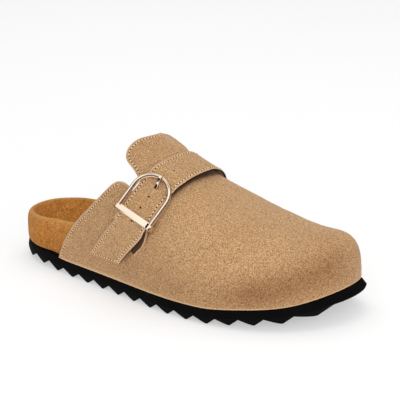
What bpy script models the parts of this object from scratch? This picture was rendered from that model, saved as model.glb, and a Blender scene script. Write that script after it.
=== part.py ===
"""Clog slipper, right foot: suede upper with a buckled strap, contoured footbed, sawtooth sole.

Metres, +Z up. The origin is under the middle of the outsole's box, +X points to the toe
and +Y to the inner (medial) side of the foot. The strap is buckled on the outer side.
"""
import bpy
import bmesh
import numpy as np
from math import cos, pi, radians, sin, tan
from mathutils import Matrix, Vector
from mathutils.geometry import delaunay_2d_cdt

# Driving sizes of the shoe
LENGTH = 0.266
BALL_WIDTH = 0.1025
INSTEP_HEIGHT = 0.107
JOINT_GAP = 0.0003

# Outsole
SOLE_THICKNESS = 0.0098
SOLE_FLARE_HEEL = 0.0008
SOLE_FLARE_TOE = 0.0038
SOLE_WIDEST_SHARE = 0.50
TOOTH_PITCH = 0.0158
TOOTH_DEPTH = 0.0038
TOOTH_TIP_FLAT = 0.0012
TOOTH_RISE_SHARE = 0.42
FIRST_TOOTH = 0.0152
LAST_TOOTH_ROOM = 0.0130

# Footbed
FOOTBED_RIM_HEIGHT = 0.041
FOOTBED_CUP_DEPTH = 0.012
FOOTBED_BULGE = 0.0008
FOOTBED_CLEARANCE = 0.0005

# Upper
UPPER_WALL = 0.0022
PATTERN_SCALE = (0.40, 0.11)

# Strap
STRAP_WIDTH = 0.0240
STRAP_THICKNESS = 0.0018
STRAP_TAIL_CUT = radians(40)
STRAP_CUT_REACH = 0.040

# Buckle
BUCKLE_SIDE_PLAY = 0.0009
BUCKLE_WIRE = 0.0028
BUCKLE_REACH = 0.0333
BUCKLE_BAR_WIDTH = 0.0050
BUCKLE_BAR_THICKNESS = 0.0016
HINGE_BAR_DIAMETER = 0.0019
WIRE_ROOT = 0.0012
END_BLOCK_INSET = 0.0002
END_BLOCK_RIM = 0.0003
HINGE_PLAY = 0.00025
PRONG_WIDTH = 0.0024
PRONG_THICKNESS = 0.0010
PRONG_SLOT_PLAY = 0.0004

# Leather tab that holds the buckle's hinge bar
TAB_LEATHER = 0.0009
TAB_WIDTH = 0.0180
TAB_LENGTH = 0.0200

STATIONS = 96

OUTLINE = (
    # share of the length, lateral reach, medial reach (shares of half the ball width)
    (0.02, 0.320, 0.310),
    (0.05, 0.450, 0.440),
    (0.10, 0.560, 0.560),
    (0.20, 0.665, 0.660),
    (0.30, 0.748, 0.668),
    (0.40, 0.836, 0.672),
    (0.50, 0.931, 0.735),
    (0.60, 1.000, 0.865),
    (0.70, 0.995, 0.985),
    (0.80, 0.885, 1.000),
    (0.90, 0.600, 0.940),
    (0.97, 0.165, 0.820),
)
TOE_TIP_REACH = 0.40

SECTIONS = (
    # share of the length; underside and ridge of the upper (shares of the instep height);
    # ridge's sideways place (share of half the ball width); power of the section's curve
    (0.00, 0.034, 0.94, 0.00, 2.6),
    (0.12, 0.020, 0.97, 0.00, 2.6),
    (0.22, 0.000, 1.00, 0.02, 2.8),
    (0.40, 0.000, 1.01, 0.08, 2.8),
    (0.50, 0.000, 0.87, 0.12, 2.5),
    (0.60, 0.000, 0.735, 0.15, 2.5),
    (0.68, 0.000, 0.65, 0.21, 2.6),
    (0.80, 0.026, 0.565, 0.26, 2.6),
    (0.90, 0.052, 0.555, 0.33, 2.7),
    (1.00, 0.115, 0.72, 0.36, 2.7),
)
UNDERSIDE, RIDGE, RIDGE_SIDE, POWER = 1, 2, 3, 4

FOOTBED = (
    # share of the length, rim (share of the rim height), cup (share of the cup depth)
    (0.00, 0.850, 1.00),
    (0.12, 0.890, 1.00),
    (0.34, 1.000, 0.80),
    (0.50, 0.900, 0.50),
    (0.62, 0.730, 0.28),
    (0.75, 0.660, 0.22),
    (0.88, 0.700, 0.20),
    (1.00, 0.780, 0.18),
)

FOOTBED_ROWS = (
    # inset from the footbed's side, height share up to the rim, share of the cup's depth
    (0.0010, 0.00, 0.00),
    (0.0002, 0.30, 0.00),
    (0.0002, 0.62, 0.00),
    (0.0012, 0.90, 0.00),
    (0.0030, 1.00, 0.00),
    (0.0060, 1.00, 0.14),
    (0.0100, 1.00, 0.42),
    (0.0150, 1.00, 0.76),
    (0.0210, 1.00, 0.96),
)

# Where the ribs of the upper fan out round the toe: the ridge line's start, end and end rate
FAN_START = 0.50
FAN_END = 0.78
FAN_END_RATE = 0.20

THROAT_EDGE = (
    # one side's cut edge from the back of the quarter to the middle of the tongue:
    # station (share of the half turn from heel to toe), girth (0 on the ridge, 1 at the sole)
    (0.2780, 1.000),
    (0.2890, 0.940),
    (0.3180, 0.836),
    (0.3690, 0.717),
    (0.4140, 0.605),
    (0.4290, 0.562),
    (0.4470, 0.538),
    (0.4630, 0.546),
    (0.4800, 0.592),
    (0.4940, 0.650),
    (0.4965, 0.705),
    (0.4885, 0.762),
    (0.4800, 0.808),
    (0.4825, 0.826),
    (0.4905, 0.806),
    (0.5030, 0.738),
    (0.5120, 0.668),
    (0.5100, 0.600),
    (0.4940, 0.525),
    (0.4700, 0.462),
    (0.4520, 0.438),
    (0.4400, 0.424),
    (0.4345, 0.385),
    (0.4345, 0.330),
    (0.4400, 0.210),
    (0.4470, 0.090),
    (0.4490, 0.000),
)

STRAP_ROUTE = (
    # girth, station of the middle line, lift of the back edge, lift of the front edge
    (0.640, 0.5080, 0.0003, 0.0003),
    (0.450, 0.5200, 0.0003, 0.0003),
    (0.250, 0.5265, 0.0003, 0.0006),
    (0.040, 0.5265, 0.0004, 0.0018),
    (-0.200, 0.5190, 0.0005, 0.0022),
    (-0.370, 0.5100, 0.0008, 0.0020),
    (-0.490, 0.5004, 0.0020, 0.0024),
    (-0.600, 0.4924, 0.0040, 0.0042),
    (-0.665, 0.4864, 0.0042, 0.0046),
    (-0.760, 0.4635, 0.0034, 0.0040),
    (-0.870, 0.4320, 0.0031, 0.0040),
    (-0.955, 0.4070, 0.0026, 0.0036),
)

# Buckle's place on the upper: station, girth and height of the bar and of the arch's top
BUCKLE_BAR_SITE = (0.4905, -0.6243, 0.0091)
BUCKLE_ARCH_SITE = (0.5080, -0.3510, 0.0072)
HINGE_DROP = 0.0054
# Where the prong crosses the strap, from the hinge bar towards the arch
PRONG_PATH_THROUGH_STRAP = (0.0215, 0.0275)
# Where the strap, level below the bar, has dipped far enough to pass under the arch's wire
STRAP_DIP = (0.0155, 0.0195)
# Where the strap leaves the buckle's plane: below the bar and past the arch
TAIL_RELEASE = (-0.0065, 0.0015)
ARCH_RELEASE = (0.0325, 0.0430)


def clear_scene():
    for obj in list(bpy.data.objects):
        bpy.data.objects.remove(obj, do_unlink=True)


def spline(xs, ys, at):
    """Natural cubic curve through the points (xs, ys), read at the given places."""
    xs, ys, at = (np.asarray(v, float) for v in (xs, ys, at))
    step = np.diff(xs)
    rise = np.diff(ys) / step
    count = len(xs)
    system = np.eye(count)
    right = np.zeros(count)
    for i in range(1, count - 1):
        system[i, i - 1:i + 2] = step[i - 1], 2 * (step[i - 1] + step[i]), step[i]
        right[i] = 6 * (rise[i] - rise[i - 1])
    bend = np.linalg.solve(system, right)
    k = np.clip(np.searchsorted(xs, at) - 1, 0, count - 2)
    d = at - xs[k]
    slope = rise[k] - step[k] * (2 * bend[k] + bend[k + 1]) / 6
    return ys[k] + d * slope + d**2 * bend[k] / 2 + d**3 * (bend[k + 1] - bend[k]) / (6 * step[k])


def smooth_steps(xs, ys, at):
    """Curve through the points that never overshoots, so level stretches stay level."""
    xs, ys, at = (np.asarray(v, float) for v in (xs, ys, at))
    step = np.diff(xs)
    rise = np.diff(ys) / step
    slope = np.zeros(len(xs))
    for i in range(1, len(xs) - 1):
        if rise[i - 1] * rise[i] > 0:
            slope[i] = 2 / (1 / rise[i - 1] + 1 / rise[i])
    slope[0], slope[-1] = rise[0], rise[-1]
    k = np.clip(np.searchsorted(xs, at) - 1, 0, len(xs) - 2)
    h = step[k]
    u = (at - xs[k]) / h
    return ((1 + 2 * u) * (1 - u)**2 * ys[k] + u * (1 - u)**2 * h * slope[k]
            + u**2 * (3 - 2 * u) * ys[k + 1] + u**2 * (u - 1) * h * slope[k + 1])


def ease(value, start, end):
    """0 before start, 1 after end, with a soft change between them."""
    u = np.clip((np.asarray(value, float) - start) / (end - start), 0, 1)
    return u * u * (3 - 2 * u)


def share_at(angle):
    """Share of the length at an angle of the outline: 0 at the heel, 1 at the toe."""
    return (1 - np.cos(angle)) / 2


def closed_outline():
    """The outline's rows as (angle, reach), repeated before and after one turn."""
    rows = [(0.0, 0.0)]
    rows += [(np.arccos(1 - 2 * share), -lateral) for share, lateral, _ in OUTLINE]
    rows += [(pi, TOE_TIP_REACH)]
    rows += [(2 * pi - np.arccos(1 - 2 * share), medial) for share, _, medial in reversed(OUTLINE)]
    turn = np.array(rows)
    whole = np.array([2 * pi, 0.0])
    rows = np.vstack([turn - whole, turn, turn + whole])
    fine = np.linspace(0, 2 * pi, 721)
    reach = spline(rows[:, 0], rows[:, 1], fine)
    # both sides reach exactly half the ball width at their widest
    lateral_side = rows[:, 1] < 0
    rows[lateral_side, 1] /= -reach.min()
    rows[~lateral_side, 1] /= reach.max()
    return rows


OUTLINE_ROWS = closed_outline()


def outline(angle, inset=0.0):
    """Plan point of the outline at an angle, moved inwards by the inset."""
    angle = np.asarray(angle, float)

    def plan(at):
        reach = spline(OUTLINE_ROWS[:, 0], OUTLINE_ROWS[:, 1], np.mod(at, 2 * pi))
        return np.stack([-np.cos(at) * LENGTH / 2, reach * BALL_WIDTH / 2], -1)

    along = plan(angle + 1e-4) - plan(angle - 1e-4)
    along /= np.linalg.norm(along, axis=-1, keepdims=True)
    inward = np.stack([-along[..., 1], along[..., 0]], -1)
    return plan(angle) + inward * np.asarray(inset, float)[..., None]


def section(column, share):
    table = np.array(SECTIONS)
    return spline(table[:, 0], table[:, column], share)


def underside(share):
    """Height of the tooth tips: level under the foot, sprung at heel and toe."""
    table = np.array(SECTIONS)
    return smooth_steps(table[:, 0], table[:, UNDERSIDE], share) * INSTEP_HEIGHT


def sole_top(share):
    return underside(share) + SOLE_THICKNESS


def sole_flare(share):
    """How far the sole's side stands out past its top edge."""
    return SOLE_FLARE_HEEL + (SOLE_FLARE_TOE - SOLE_FLARE_HEEL) * share**2


def ridge_share(station):
    """Place along the ridge that a rib starts from: the ribs fan out round the toe."""
    start_share = share_at(pi * FAN_START)
    start_rate = pi / 2 * sin(pi * FAN_START) * (1 - FAN_START)
    end_rate = FAN_END_RATE * (1 - FAN_START)
    u = np.clip((station - FAN_START) / (1 - FAN_START), 0, 1)
    fan = ((2 * u**3 - 3 * u**2 + 1) * start_share + (u**3 - 2 * u**2 + u) * start_rate
           + (3 * u**2 - 2 * u**3) * FAN_END + (u**3 - u**2) * end_rate)
    return np.where(station < FAN_START, share_at(pi * station), fan)


def skin(station, girth):
    """Point on the upper's outer face.

    Station runs from 0 at the heel to 1 at the toe; girth from -1 at the sole's lateral edge
    over 0 on the ridge to 1 at its medial edge. Each rib is a rounded square of its own power.
    """
    station, girth = np.broadcast_arrays(np.asarray(station, float), np.asarray(girth, float))
    past_toe = station > 1
    station = np.where(past_toe, 2 - station, station)
    girth = np.where(past_toe, -girth, girth)
    share = share_at(pi * station)
    foot = outline(np.where(girth < 0, pi * station, 2 * pi - pi * station), sole_flare(share))
    along = ridge_share(station)
    ridge = np.stack([(along - 0.5) * LENGTH, section(RIDGE_SIDE, along) * BALL_WIDTH / 2], -1)
    power = section(POWER, share)
    turn = np.abs(girth) * pi / 2
    across, up = np.sin(turn), np.abs(np.cos(turn))
    size = (across**power + up**power)**(-1 / power)
    plan = ridge + (foot - ridge) * (across * size)[..., None]
    base = sole_top(share) + JOINT_GAP
    top = section(RIDGE, plan[..., 0] / LENGTH + 0.5) * INSTEP_HEIGHT
    height = base + (top - base) * (up * size)
    return np.concatenate([plan, height[..., None]], -1)


def skin_rates(station, girth, step=1e-3):
    """How the skin moves with station and with girth, never reading across the ridge."""
    station, girth = np.broadcast_arrays(np.asarray(station, float), np.asarray(girth, float))
    safe = np.where(girth < 0, np.clip(girth, step - 1, -step), np.clip(girth, step, 1 - step))
    by_station = (skin(station + step, girth) - skin(station - step, girth)) / (2 * step)
    by_girth = (skin(station, safe + step) - skin(station, safe - step)) / (2 * step)
    return by_station, by_girth


def skin_normal(station, girth):
    by_station, by_girth = skin_rates(station, girth)
    normal = np.cross(by_station, by_girth)
    return normal / np.linalg.norm(normal, axis=-1, keepdims=True)


def material(name, colour, roughness, metallic=0.0):
    mat = bpy.data.materials.new(name)
    mat.use_nodes = True
    shader = mat.node_tree.nodes["Principled BSDF"]
    shader.inputs["Base Color"].default_value = (*colour, 1.0)
    shader.inputs["Roughness"].default_value = roughness
    shader.inputs["Metallic"].default_value = metallic
    mat.diffuse_color = (*colour, 1.0)
    return mat


def add_object(name, points, faces, mat=None, crease=35):
    """A closed body from points and faces: doubles merged, faces turned outwards."""
    work = bmesh.new()
    corners = [work.verts.new(Vector(p)) for p in points]
    for face in faces:
        loop = list(dict.fromkeys(face))
        if len(loop) > 2:
            work.faces.new([corners[i] for i in loop])
    bmesh.ops.remove_doubles(work, verts=work.verts, dist=1e-6)
    bmesh.ops.dissolve_degenerate(work, edges=work.edges, dist=1e-6)
    bmesh.ops.recalc_face_normals(work, faces=work.faces)
    mesh = bpy.data.meshes.new(name)
    work.to_mesh(mesh)
    work.free()
    mesh.shade_smooth()
    mesh.set_sharp_from_angle(angle=radians(crease))
    obj = bpy.data.objects.new(name, mesh)
    bpy.context.scene.collection.objects.link(obj)
    if mat:
        mesh.materials.append(mat)
    return obj


def combine(obj, tool, operation):
    """Cut the tool out of the object, or join it on. The tool stays as a hidden guide."""
    tool.hide_render = True
    tool.display_type = "WIRE"
    change = obj.modifiers.new(tool.name, "BOOLEAN")
    change.operation = operation
    change.object = tool
    change.solver = "EXACT"


def stacked_rings(rings):
    """Faces of a body of equal rings, closed below and above by strips across the shoe."""
    count = len(rings[0])
    points = np.vstack(rings)
    faces = []
    for r in range(len(rings) - 1):
        for k in range(count):
            n = (k + 1) % count
            faces.append((r * count + k, r * count + n, (r + 1) * count + n, (r + 1) * count + k))
    for start in (0, (len(rings) - 1) * count):
        for k in range(count // 2):
            faces.append(tuple(start + i % count for i in (k, k + 1, count - k - 1, count - k)))
    return points, faces


def ring(inset, height):
    """One ring round the shoe; inset and height are functions of the share of the length."""
    angle = np.arange(STATIONS) * 2 * pi / STATIONS
    share = share_at(angle)
    plan = outline(angle, inset(share))
    return np.column_stack([plan, height(share)])


def tooth_line():
    """Profile of the sawtooth underside, heel to toe, as (x, z) points."""
    start = -LENGTH / 2
    last = LENGTH - LAST_TOOTH_ROOM
    count = int((last - FIRST_TOOTH) / TOOTH_PITCH) + 1

    def height(distance):
        return float(underside(distance / LENGTH))

    valley = FIRST_TOOTH - (1 - TOOTH_RISE_SHARE) * TOOTH_PITCH
    line = [(start - 0.01, height(0) + TOOTH_DEPTH), (start + valley, height(0) + TOOTH_DEPTH)]
    for i in range(count):
        tip = FIRST_TOOTH + i * TOOTH_PITCH
        line.append((start + tip - TOOTH_TIP_FLAT / 2, height(tip)))
        line.append((start + tip + TOOTH_TIP_FLAT / 2, height(tip)))
        valley = tip + TOOTH_RISE_SHARE * TOOTH_PITCH
        line.append((start + valley, height(valley) + TOOTH_DEPTH))
    line.append((LENGTH / 2 + 0.01, height(LENGTH) + TOOTH_DEPTH))
    return line


def prism(name, profile, width):
    """A bar along Y whose end faces are the given (x, z) profile."""
    count = len(profile)
    points = [(x, side * width / 2, z) for side in (-1, 1) for x, z in profile]
    faces = [tuple(range(count)), tuple(range(count, 2 * count))]
    faces += [(k, (k + 1) % count, count + (k + 1) % count, count + k) for k in range(count)]
    return add_object(name, points, faces)


def make_outsole(rubber):
    """Rubber sole: flared side, sprung heel and toe, sawtooth ridges right across below."""
    blank_drop = 0.004
    rings = [
        ring(lambda s: 0.9 * sole_flare(s), lambda s: underside(s) - blank_drop),
        ring(lambda s: 0.35 * sole_flare(s), lambda s: underside(s) + 0.15 * SOLE_THICKNESS),
        ring(lambda s: 0.0 * s, lambda s: underside(s) + SOLE_WIDEST_SHARE * SOLE_THICKNESS),
        ring(sole_flare, sole_top),
    ]
    points, faces = stacked_rings(rings)
    sole = add_object("outsole", points, faces, rubber, 25)
    line = tooth_line()
    floor = -4 * blank_drop
    cutter = prism("tooth_cutter", line + [(line[-1][0], floor), (line[0][0], floor)], 2 * BALL_WIDTH)
    combine(sole, cutter, "DIFFERENCE")
    return sole


def footbed_inset(share):
    """The footbed's side: bulging at the bare heel, inside the upper's wall further forward."""
    inside = sole_flare(share) + UPPER_WALL + FOOTBED_CLEARANCE
    bare = sole_flare(share) - FOOTBED_BULGE
    return bare + (inside - bare) * ease(share, 0.08, 0.155)


def make_footbed(suede):
    """Contoured footbed with a rounded rim, heel cup and raised arch."""
    table = np.array(FOOTBED)
    rings = []
    for inset, lift, dip in FOOTBED_ROWS:

        def height(share, lift=lift, dip=dip):
            rim = smooth_steps(table[:, 0], table[:, 1], share) * FOOTBED_RIM_HEIGHT
            cup = smooth_steps(table[:, 0], table[:, 2], share) * FOOTBED_CUP_DEPTH
            base = sole_top(share) + JOINT_GAP
            return base + (rim - base) * lift - cup * dip

        rings.append(ring(lambda s, inset=inset: footbed_inset(s) + inset, height))
    points, faces = stacked_rings(rings)
    return add_object("footbed", points, faces, suede, 50)


def smooth_path(rows, count):
    """Points evenly spread along a curve through the rows."""
    rows = np.array(rows, float)
    scale = np.array(PATTERN_SCALE)
    place = np.concatenate([[0], np.cumsum(np.linalg.norm(np.diff(rows, axis=0) * scale, axis=1))])
    at = np.linspace(0, place[-1], count)
    return np.column_stack([spline(place, rows[:, i], at) for i in range(2)])


def pattern_edge():
    """The upper's closed pattern as (station, girth) points: throat, medial, toe, lateral."""
    lateral = smooth_path([(station, -girth) for station, girth in THROAT_EDGE], 70)
    medial = (lateral * (1, -1))[::-1][1:]
    step = 2 / STATIONS
    sole_line = np.arange(np.ceil(THROAT_EDGE[0][0] / step + 0.3), STATIONS / 2) * step
    toe_line = np.linspace(1, -1, 27)
    return np.vstack([
        lateral,
        medial,
        np.column_stack([sole_line, np.ones(len(sole_line))]),
        np.column_stack([np.ones(len(toe_line)), toe_line]),
        np.column_stack([sole_line[::-1], -np.ones(len(sole_line))]),
    ])


def inside_points(edge):
    """Grid of (station, girth) points inside the pattern, kept off its edge."""
    step = 2 / STATIONS
    stations = np.arange(1, STATIONS // 2) * step
    girths = np.linspace(-1, 1, 27)[1:-1]
    grid = np.array([(a, g) for a in stations for g in girths])
    scale = np.array(PATTERN_SCALE)
    start, end = edge, np.roll(edge, -1, axis=0)
    crossings = np.zeros(len(grid), int)
    nearest = np.full(len(grid), 9.0)
    for p, q in zip(start, end):
        spans = (p[1] > grid[:, 1]) != (q[1] > grid[:, 1])
        with np.errstate(divide="ignore", invalid="ignore"):
            at = p[0] + (grid[:, 1] - p[1]) / (q[1] - p[1]) * (q[0] - p[0])
        crossings += spans & (grid[:, 0] < at)
        run = (q - p) * scale
        offset = (grid - p) * scale
        along = np.clip(offset @ run / max(run @ run, 1e-12), 0, 1)
        nearest = np.minimum(nearest, np.linalg.norm(offset - along[:, None] * run, axis=1))
    return grid[(crossings % 2 == 1) & (nearest > 0.0035)]


def make_upper(suede):
    """The upper: one sheet cut to its pattern and given a wall, closed at the toe."""
    edge = pattern_edge()
    flat = np.vstack([edge, inside_points(edge)])
    scale = np.array(PATTERN_SCALE)
    loop = list(range(len(edge)))
    flat_points, _, triangles, *_ = delaunay_2d_cdt(
        [Vector(p * scale) for p in flat], [], [loop], 1, 1e-7)
    flat = np.array([tuple(p) for p in flat_points]) / scale
    # the two sides of the toe's line are one line on the shoe
    toe = flat[:, 0] > 1 - 1e-6
    flat[toe, 1] = -np.abs(flat[toe, 1])
    outer = skin(flat[:, 0], flat[:, 1])
    inner = outer - skin_normal(np.minimum(flat[:, 0], 0.998), flat[:, 1]) * UPPER_WALL
    count = len(flat)
    points = np.vstack([outer, inner])
    faces = [tuple(t) for t in triangles] + [tuple(i + count for i in t) for t in triangles]
    uses = {}
    for t in triangles:
        for k in range(3):
            pair = (t[k], t[(k + 1) % 3])
            uses[frozenset(pair)] = uses.get(frozenset(pair), 0) + 1
    for pair, times in uses.items():
        i, j = tuple(pair)
        if times == 1 and not (toe[i] and toe[j]):
            faces.append((i, j, j + count, i + count))
    return add_object("upper", points, faces, suede, 40)


def strap_table():
    """Arc length along the strap's middle line with its girth, for reading places off it."""
    route = np.array(STRAP_ROUTE)
    girth = np.linspace(route[0, 0], route[-1, 0], 240)
    station = spline(-route[:, 0], route[:, 1], -girth)
    points = skin(station, girth)
    length = np.concatenate([[0], np.cumsum(np.linalg.norm(np.diff(points, axis=0), axis=1))])
    return length, girth


STRAP_LENGTHS, STRAP_GIRTHS = strap_table()
STRAP_LENGTH = STRAP_LENGTHS[-1]


def strap_place(length, side):
    """Station and girth of a place on the strap, length along it and side across it."""
    route = np.array(STRAP_ROUTE)
    length, side = np.broadcast_arrays(np.asarray(length, float), np.asarray(side, float))

    def middle(at):
        girth = np.interp(at, STRAP_LENGTHS, STRAP_GIRTHS)
        return spline(-route[:, 0], route[:, 1], -girth), girth

    step = 0.001
    inside = np.clip(length, step, STRAP_LENGTH - step)
    before, after = middle(inside - step), middle(inside + step)
    station, girth = middle(length)
    by_station, by_girth = skin_rates(station, girth)
    along = by_station * (after[0] - before[0])[..., None] + by_girth * (after[1] - before[1])[..., None]
    across = np.cross(np.cross(by_station, by_girth), along)
    across /= np.linalg.norm(across, axis=-1, keepdims=True)
    # the sideways step as a change of station and girth
    ss = (by_station * by_station).sum(-1)
    sg = (by_station * by_girth).sum(-1)
    gg = (by_girth * by_girth).sum(-1)
    ps = (across * by_station).sum(-1) * side
    pg = (across * by_girth).sum(-1) * side
    size = ss * gg - sg * sg
    return station + (gg * ps - sg * pg) / size, girth + (ss * pg - sg * ps) / size


def strap_lift(length, side, base, normal, frame):
    """Height of the strap's underside over the upper, raised to pass through the buckle."""
    route = np.array(STRAP_ROUTE)
    girth = np.interp(length, STRAP_LENGTHS, STRAP_GIRTHS)
    back = smooth_steps(-route[:, 0], route[:, 2], -girth)
    front = smooth_steps(-route[:, 0], route[:, 3], -girth)
    free = back + (front - back) * (side / STRAP_WIDTH + 0.5)
    axes = np.array(frame.to_3x3())
    local = (base - np.array(frame.translation)) @ axes
    up = (normal @ axes)[..., 2]
    under_bar = -BUCKLE_BAR_THICKNESS / 2 - JOINT_GAP - STRAP_THICKNESS
    under_arch = -BUCKLE_WIRE / 2 - JOINT_GAP - STRAP_THICKNESS
    height = under_bar + (under_arch - under_bar) * ease(local[..., 1], *STRAP_DIP)
    held = (height - local[..., 2]) / up
    hold = ease(local[..., 1], *TAIL_RELEASE) * (1 - ease(local[..., 1], *ARCH_RELEASE))
    return np.maximum(free + (held - free) * hold, JOINT_GAP)


def sheet_body(name, under, over, mat, crease=40):
    """Closed body between two equal grids of points, rows along and columns across."""
    rows, columns = under.shape[:2]
    count = rows * columns
    points = np.vstack([under.reshape(-1, 3), over.reshape(-1, 3)])
    faces = []
    for r in range(rows - 1):
        for c in range(columns - 1):
            quad = (r * columns + c, r * columns + c + 1, (r + 1) * columns + c + 1, (r + 1) * columns + c)
            faces.append(quad)
            faces.append(tuple(i + count for i in quad))
    border = [(0, c) for c in range(columns)] + [(r, columns - 1) for r in range(1, rows)]
    border += [(rows - 1, c) for c in range(columns - 2, -1, -1)] + [(r, 0) for r in range(rows - 2, 0, -1)]
    border = [r * columns + c for r, c in border]
    for i, j in zip(border, border[1:] + border[:1]):
        faces.append((i, j, j + count, i + count))
    return add_object(name, points, faces, mat, crease)


def make_strap(suede, frame):
    """Strap over the instep: sewn on medially, through the buckle, with a free slanted tail."""
    lengths = np.linspace(0, STRAP_LENGTH, 56)
    sides = np.linspace(-0.5, 0.5, 5) * STRAP_WIDTH
    length, side = np.meshgrid(lengths, sides, indexing="ij")
    slant = ease(length, STRAP_LENGTH - STRAP_CUT_REACH, STRAP_LENGTH)
    length = length - slant * (side + STRAP_WIDTH / 2) * tan(STRAP_TAIL_CUT)
    station, girth = strap_place(length, side)
    base = skin(station, girth)
    normal = skin_normal(station, girth)
    lift = strap_lift(length, side, base, normal, frame)[..., None]
    strap = sheet_body("strap", base + normal * lift, base + normal * (lift + STRAP_THICKNESS), suede)
    near, far = PRONG_PATH_THROUGH_STRAP
    slot = box("prong_slot", frame, (0, (near + far) / 2, -HINGE_DROP / 2),
               (PRONG_WIDTH + 2 * PRONG_SLOT_PLAY, far - near, 2 * HINGE_DROP))
    combine(strap, slot, "DIFFERENCE")
    return strap


def buckle_frame_matrix():
    """Buckle's own axes: X along the bar to the toe, Y to the arch's top, Z out of the shoe."""
    def site(place):
        return Vector(skin(*place[:2]) + skin_normal(*place[:2]) * place[2])

    bar, arch = site(BUCKLE_BAR_SITE), site(BUCKLE_ARCH_SITE)
    up = (arch - bar).normalized()
    normal = Vector(skin_normal(*BUCKLE_BAR_SITE[:2]) + skin_normal(*BUCKLE_ARCH_SITE[:2]))
    out = (normal - up * normal.dot(up)).normalized()
    along = up.cross(out)
    matrix = Matrix((along, up, out)).transposed().to_4x4()
    matrix.translation = bar
    return matrix


def box(name, frame, centre, size, mat=None):
    """A box in the buckle's own axes."""
    corners = [(x, y, z) for x in (-0.5, 0.5) for y in (-0.5, 0.5) for z in (-0.5, 0.5)]
    points = [frame @ Vector([centre[i] + c[i] * size[i] for i in range(3)]) for c in corners]
    faces = [(0, 1, 3, 2), (4, 6, 7, 5), (0, 4, 5, 1), (2, 3, 7, 6), (0, 2, 6, 4), (1, 5, 7, 3)]
    return add_object(name, points, faces, mat)


def tube(name, path, radius, sides, side_axis):
    """A round bar along a path whose sections all contain the given side axis."""
    path = [Vector(p) for p in path]
    points = []
    for i, p in enumerate(path):
        along = (path[min(i + 1, len(path) - 1)] - path[max(i - 1, 0)]).normalized()
        third = along.cross(side_axis).normalized()
        for k in range(sides):
            turn = 2 * pi * (k + 0.5) / sides
            points.append(p + side_axis * (radius * cos(turn)) + third * (radius * sin(turn)))
    faces = [tuple(range(sides)), tuple(len(points) - sides + k for k in range(sides))]
    for i in range(len(path) - 1):
        for k in range(sides):
            n = (k + 1) % sides
            faces.append((i * sides + k, i * sides + n, (i + 1) * sides + n, (i + 1) * sides + k))
    return add_object(name, points, faces)


def half_span():
    """From the buckle's middle to the middle of its side wire."""
    return STRAP_WIDTH / 2 + BUCKLE_SIDE_PLAY + BUCKLE_WIRE / 2


def make_buckle_frame(metal, frame):
    """D-shaped frame: flat top bar, end blocks, hinge bar below the strap, and round arch."""
    span = half_span()
    leg = BUCKLE_REACH - BUCKLE_WIRE / 2 - span
    root = BUCKLE_BAR_WIDTH / 2 - WIRE_ROOT
    wire_path = [(-span, root + (leg - root) * k / 3, 0) for k in range(3)]
    wire_path += [(-span * cos(pi * k / 14), leg + span * sin(pi * k / 14), 0) for k in range(15)]
    wire_path += [(span, root + (leg - root) * k / 3, 0) for k in (2, 1, 0)]
    out = frame.to_3x3() @ Vector((0, 0, 1))
    arch = tube("arch_wire", [frame @ Vector(p) for p in wire_path], BUCKLE_WIRE / 2, 10, out)
    along = frame.to_3x3() @ Vector((0, 1, 0))
    hinge_ends = [frame @ Vector((x, 0, -HINGE_DROP)) for x in (-span, span)]
    hinge = tube("hinge_bar", hinge_ends, HINGE_BAR_DIAMETER / 2, 10, along)
    bar = box("buckle_frame", frame, (0, 0, 0),
              (2 * span + BUCKLE_WIRE + 2 * END_BLOCK_INSET, BUCKLE_BAR_WIDTH, BUCKLE_BAR_THICKNESS),
              metal)
    depth = HINGE_DROP + HINGE_BAR_DIAMETER / 2 + END_BLOCK_RIM
    for side, label in ((-1, "back"), (1, "front")):
        block = box(f"end_block_{label}", frame, (side * (span - END_BLOCK_INSET), 0, -depth / 2),
                    (BUCKLE_WIRE, BUCKLE_BAR_WIDTH - 2 * END_BLOCK_INSET, depth))
        combine(bar, block, "UNION")
    combine(bar, arch, "UNION")
    combine(bar, hinge, "UNION")
    return bar


def profile_strip(centre_line, thickness):
    """Closed outline of a strip of even thickness about a line of (y, z) points."""
    line = np.array(centre_line, float)
    along = np.gradient(line, axis=0)
    along /= np.linalg.norm(along, axis=1, keepdims=True)
    side = np.column_stack([-along[:, 1], along[:, 0]]) * thickness / 2
    return np.vstack([line + side, (line - side)[::-1]])


def make_prong(metal, frame):
    """Prong rolled round the hinge bar, under the strap, up through its hole, on to the arch."""
    roll = HINGE_BAR_DIAMETER / 2 + HINGE_PLAY + PRONG_THICKNESS / 2
    turns = np.linspace(radians(395), radians(90), 14)
    line = [(roll * cos(a), -HINGE_DROP + roll * sin(a)) for a in turns]
    low = -HINGE_DROP + roll
    rest = BUCKLE_WIRE / 2 + JOINT_GAP + PRONG_THICKNESS / 2
    top = BUCKLE_REACH - BUCKLE_WIRE / 2
    near, far = PRONG_PATH_THROUGH_STRAP
    line += [(0.2 * near, low - 0.0002), (STRAP_DIP[0], low - 0.0003), (near + 0.0005, low - 0.0006)]
    line += [(near + 0.0026, low + 0.0014), (far - 0.0006, -0.0003), (top - 0.0026, rest - 0.0003)]
    line += [(top - 0.0006, rest + 0.0001), (top + 0.0014, rest - 0.0001)]
    profile = profile_strip(line, PRONG_THICKNESS)
    count = len(profile)
    points = [frame @ Vector((side * PRONG_WIDTH / 2, y, z)) for side in (-1, 1) for y, z in profile]
    faces = [(k, (k + 1) % count, count + (k + 1) % count, count + k) for k in range(count)]
    half = count // 2
    for start in (0, count):
        for k in range(half - 1):
            faces.append(tuple(start + i for i in (k, k + 1, count - 2 - k, count - 1 - k)))
    return add_object("buckle_prong", points, faces, metal)


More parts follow.
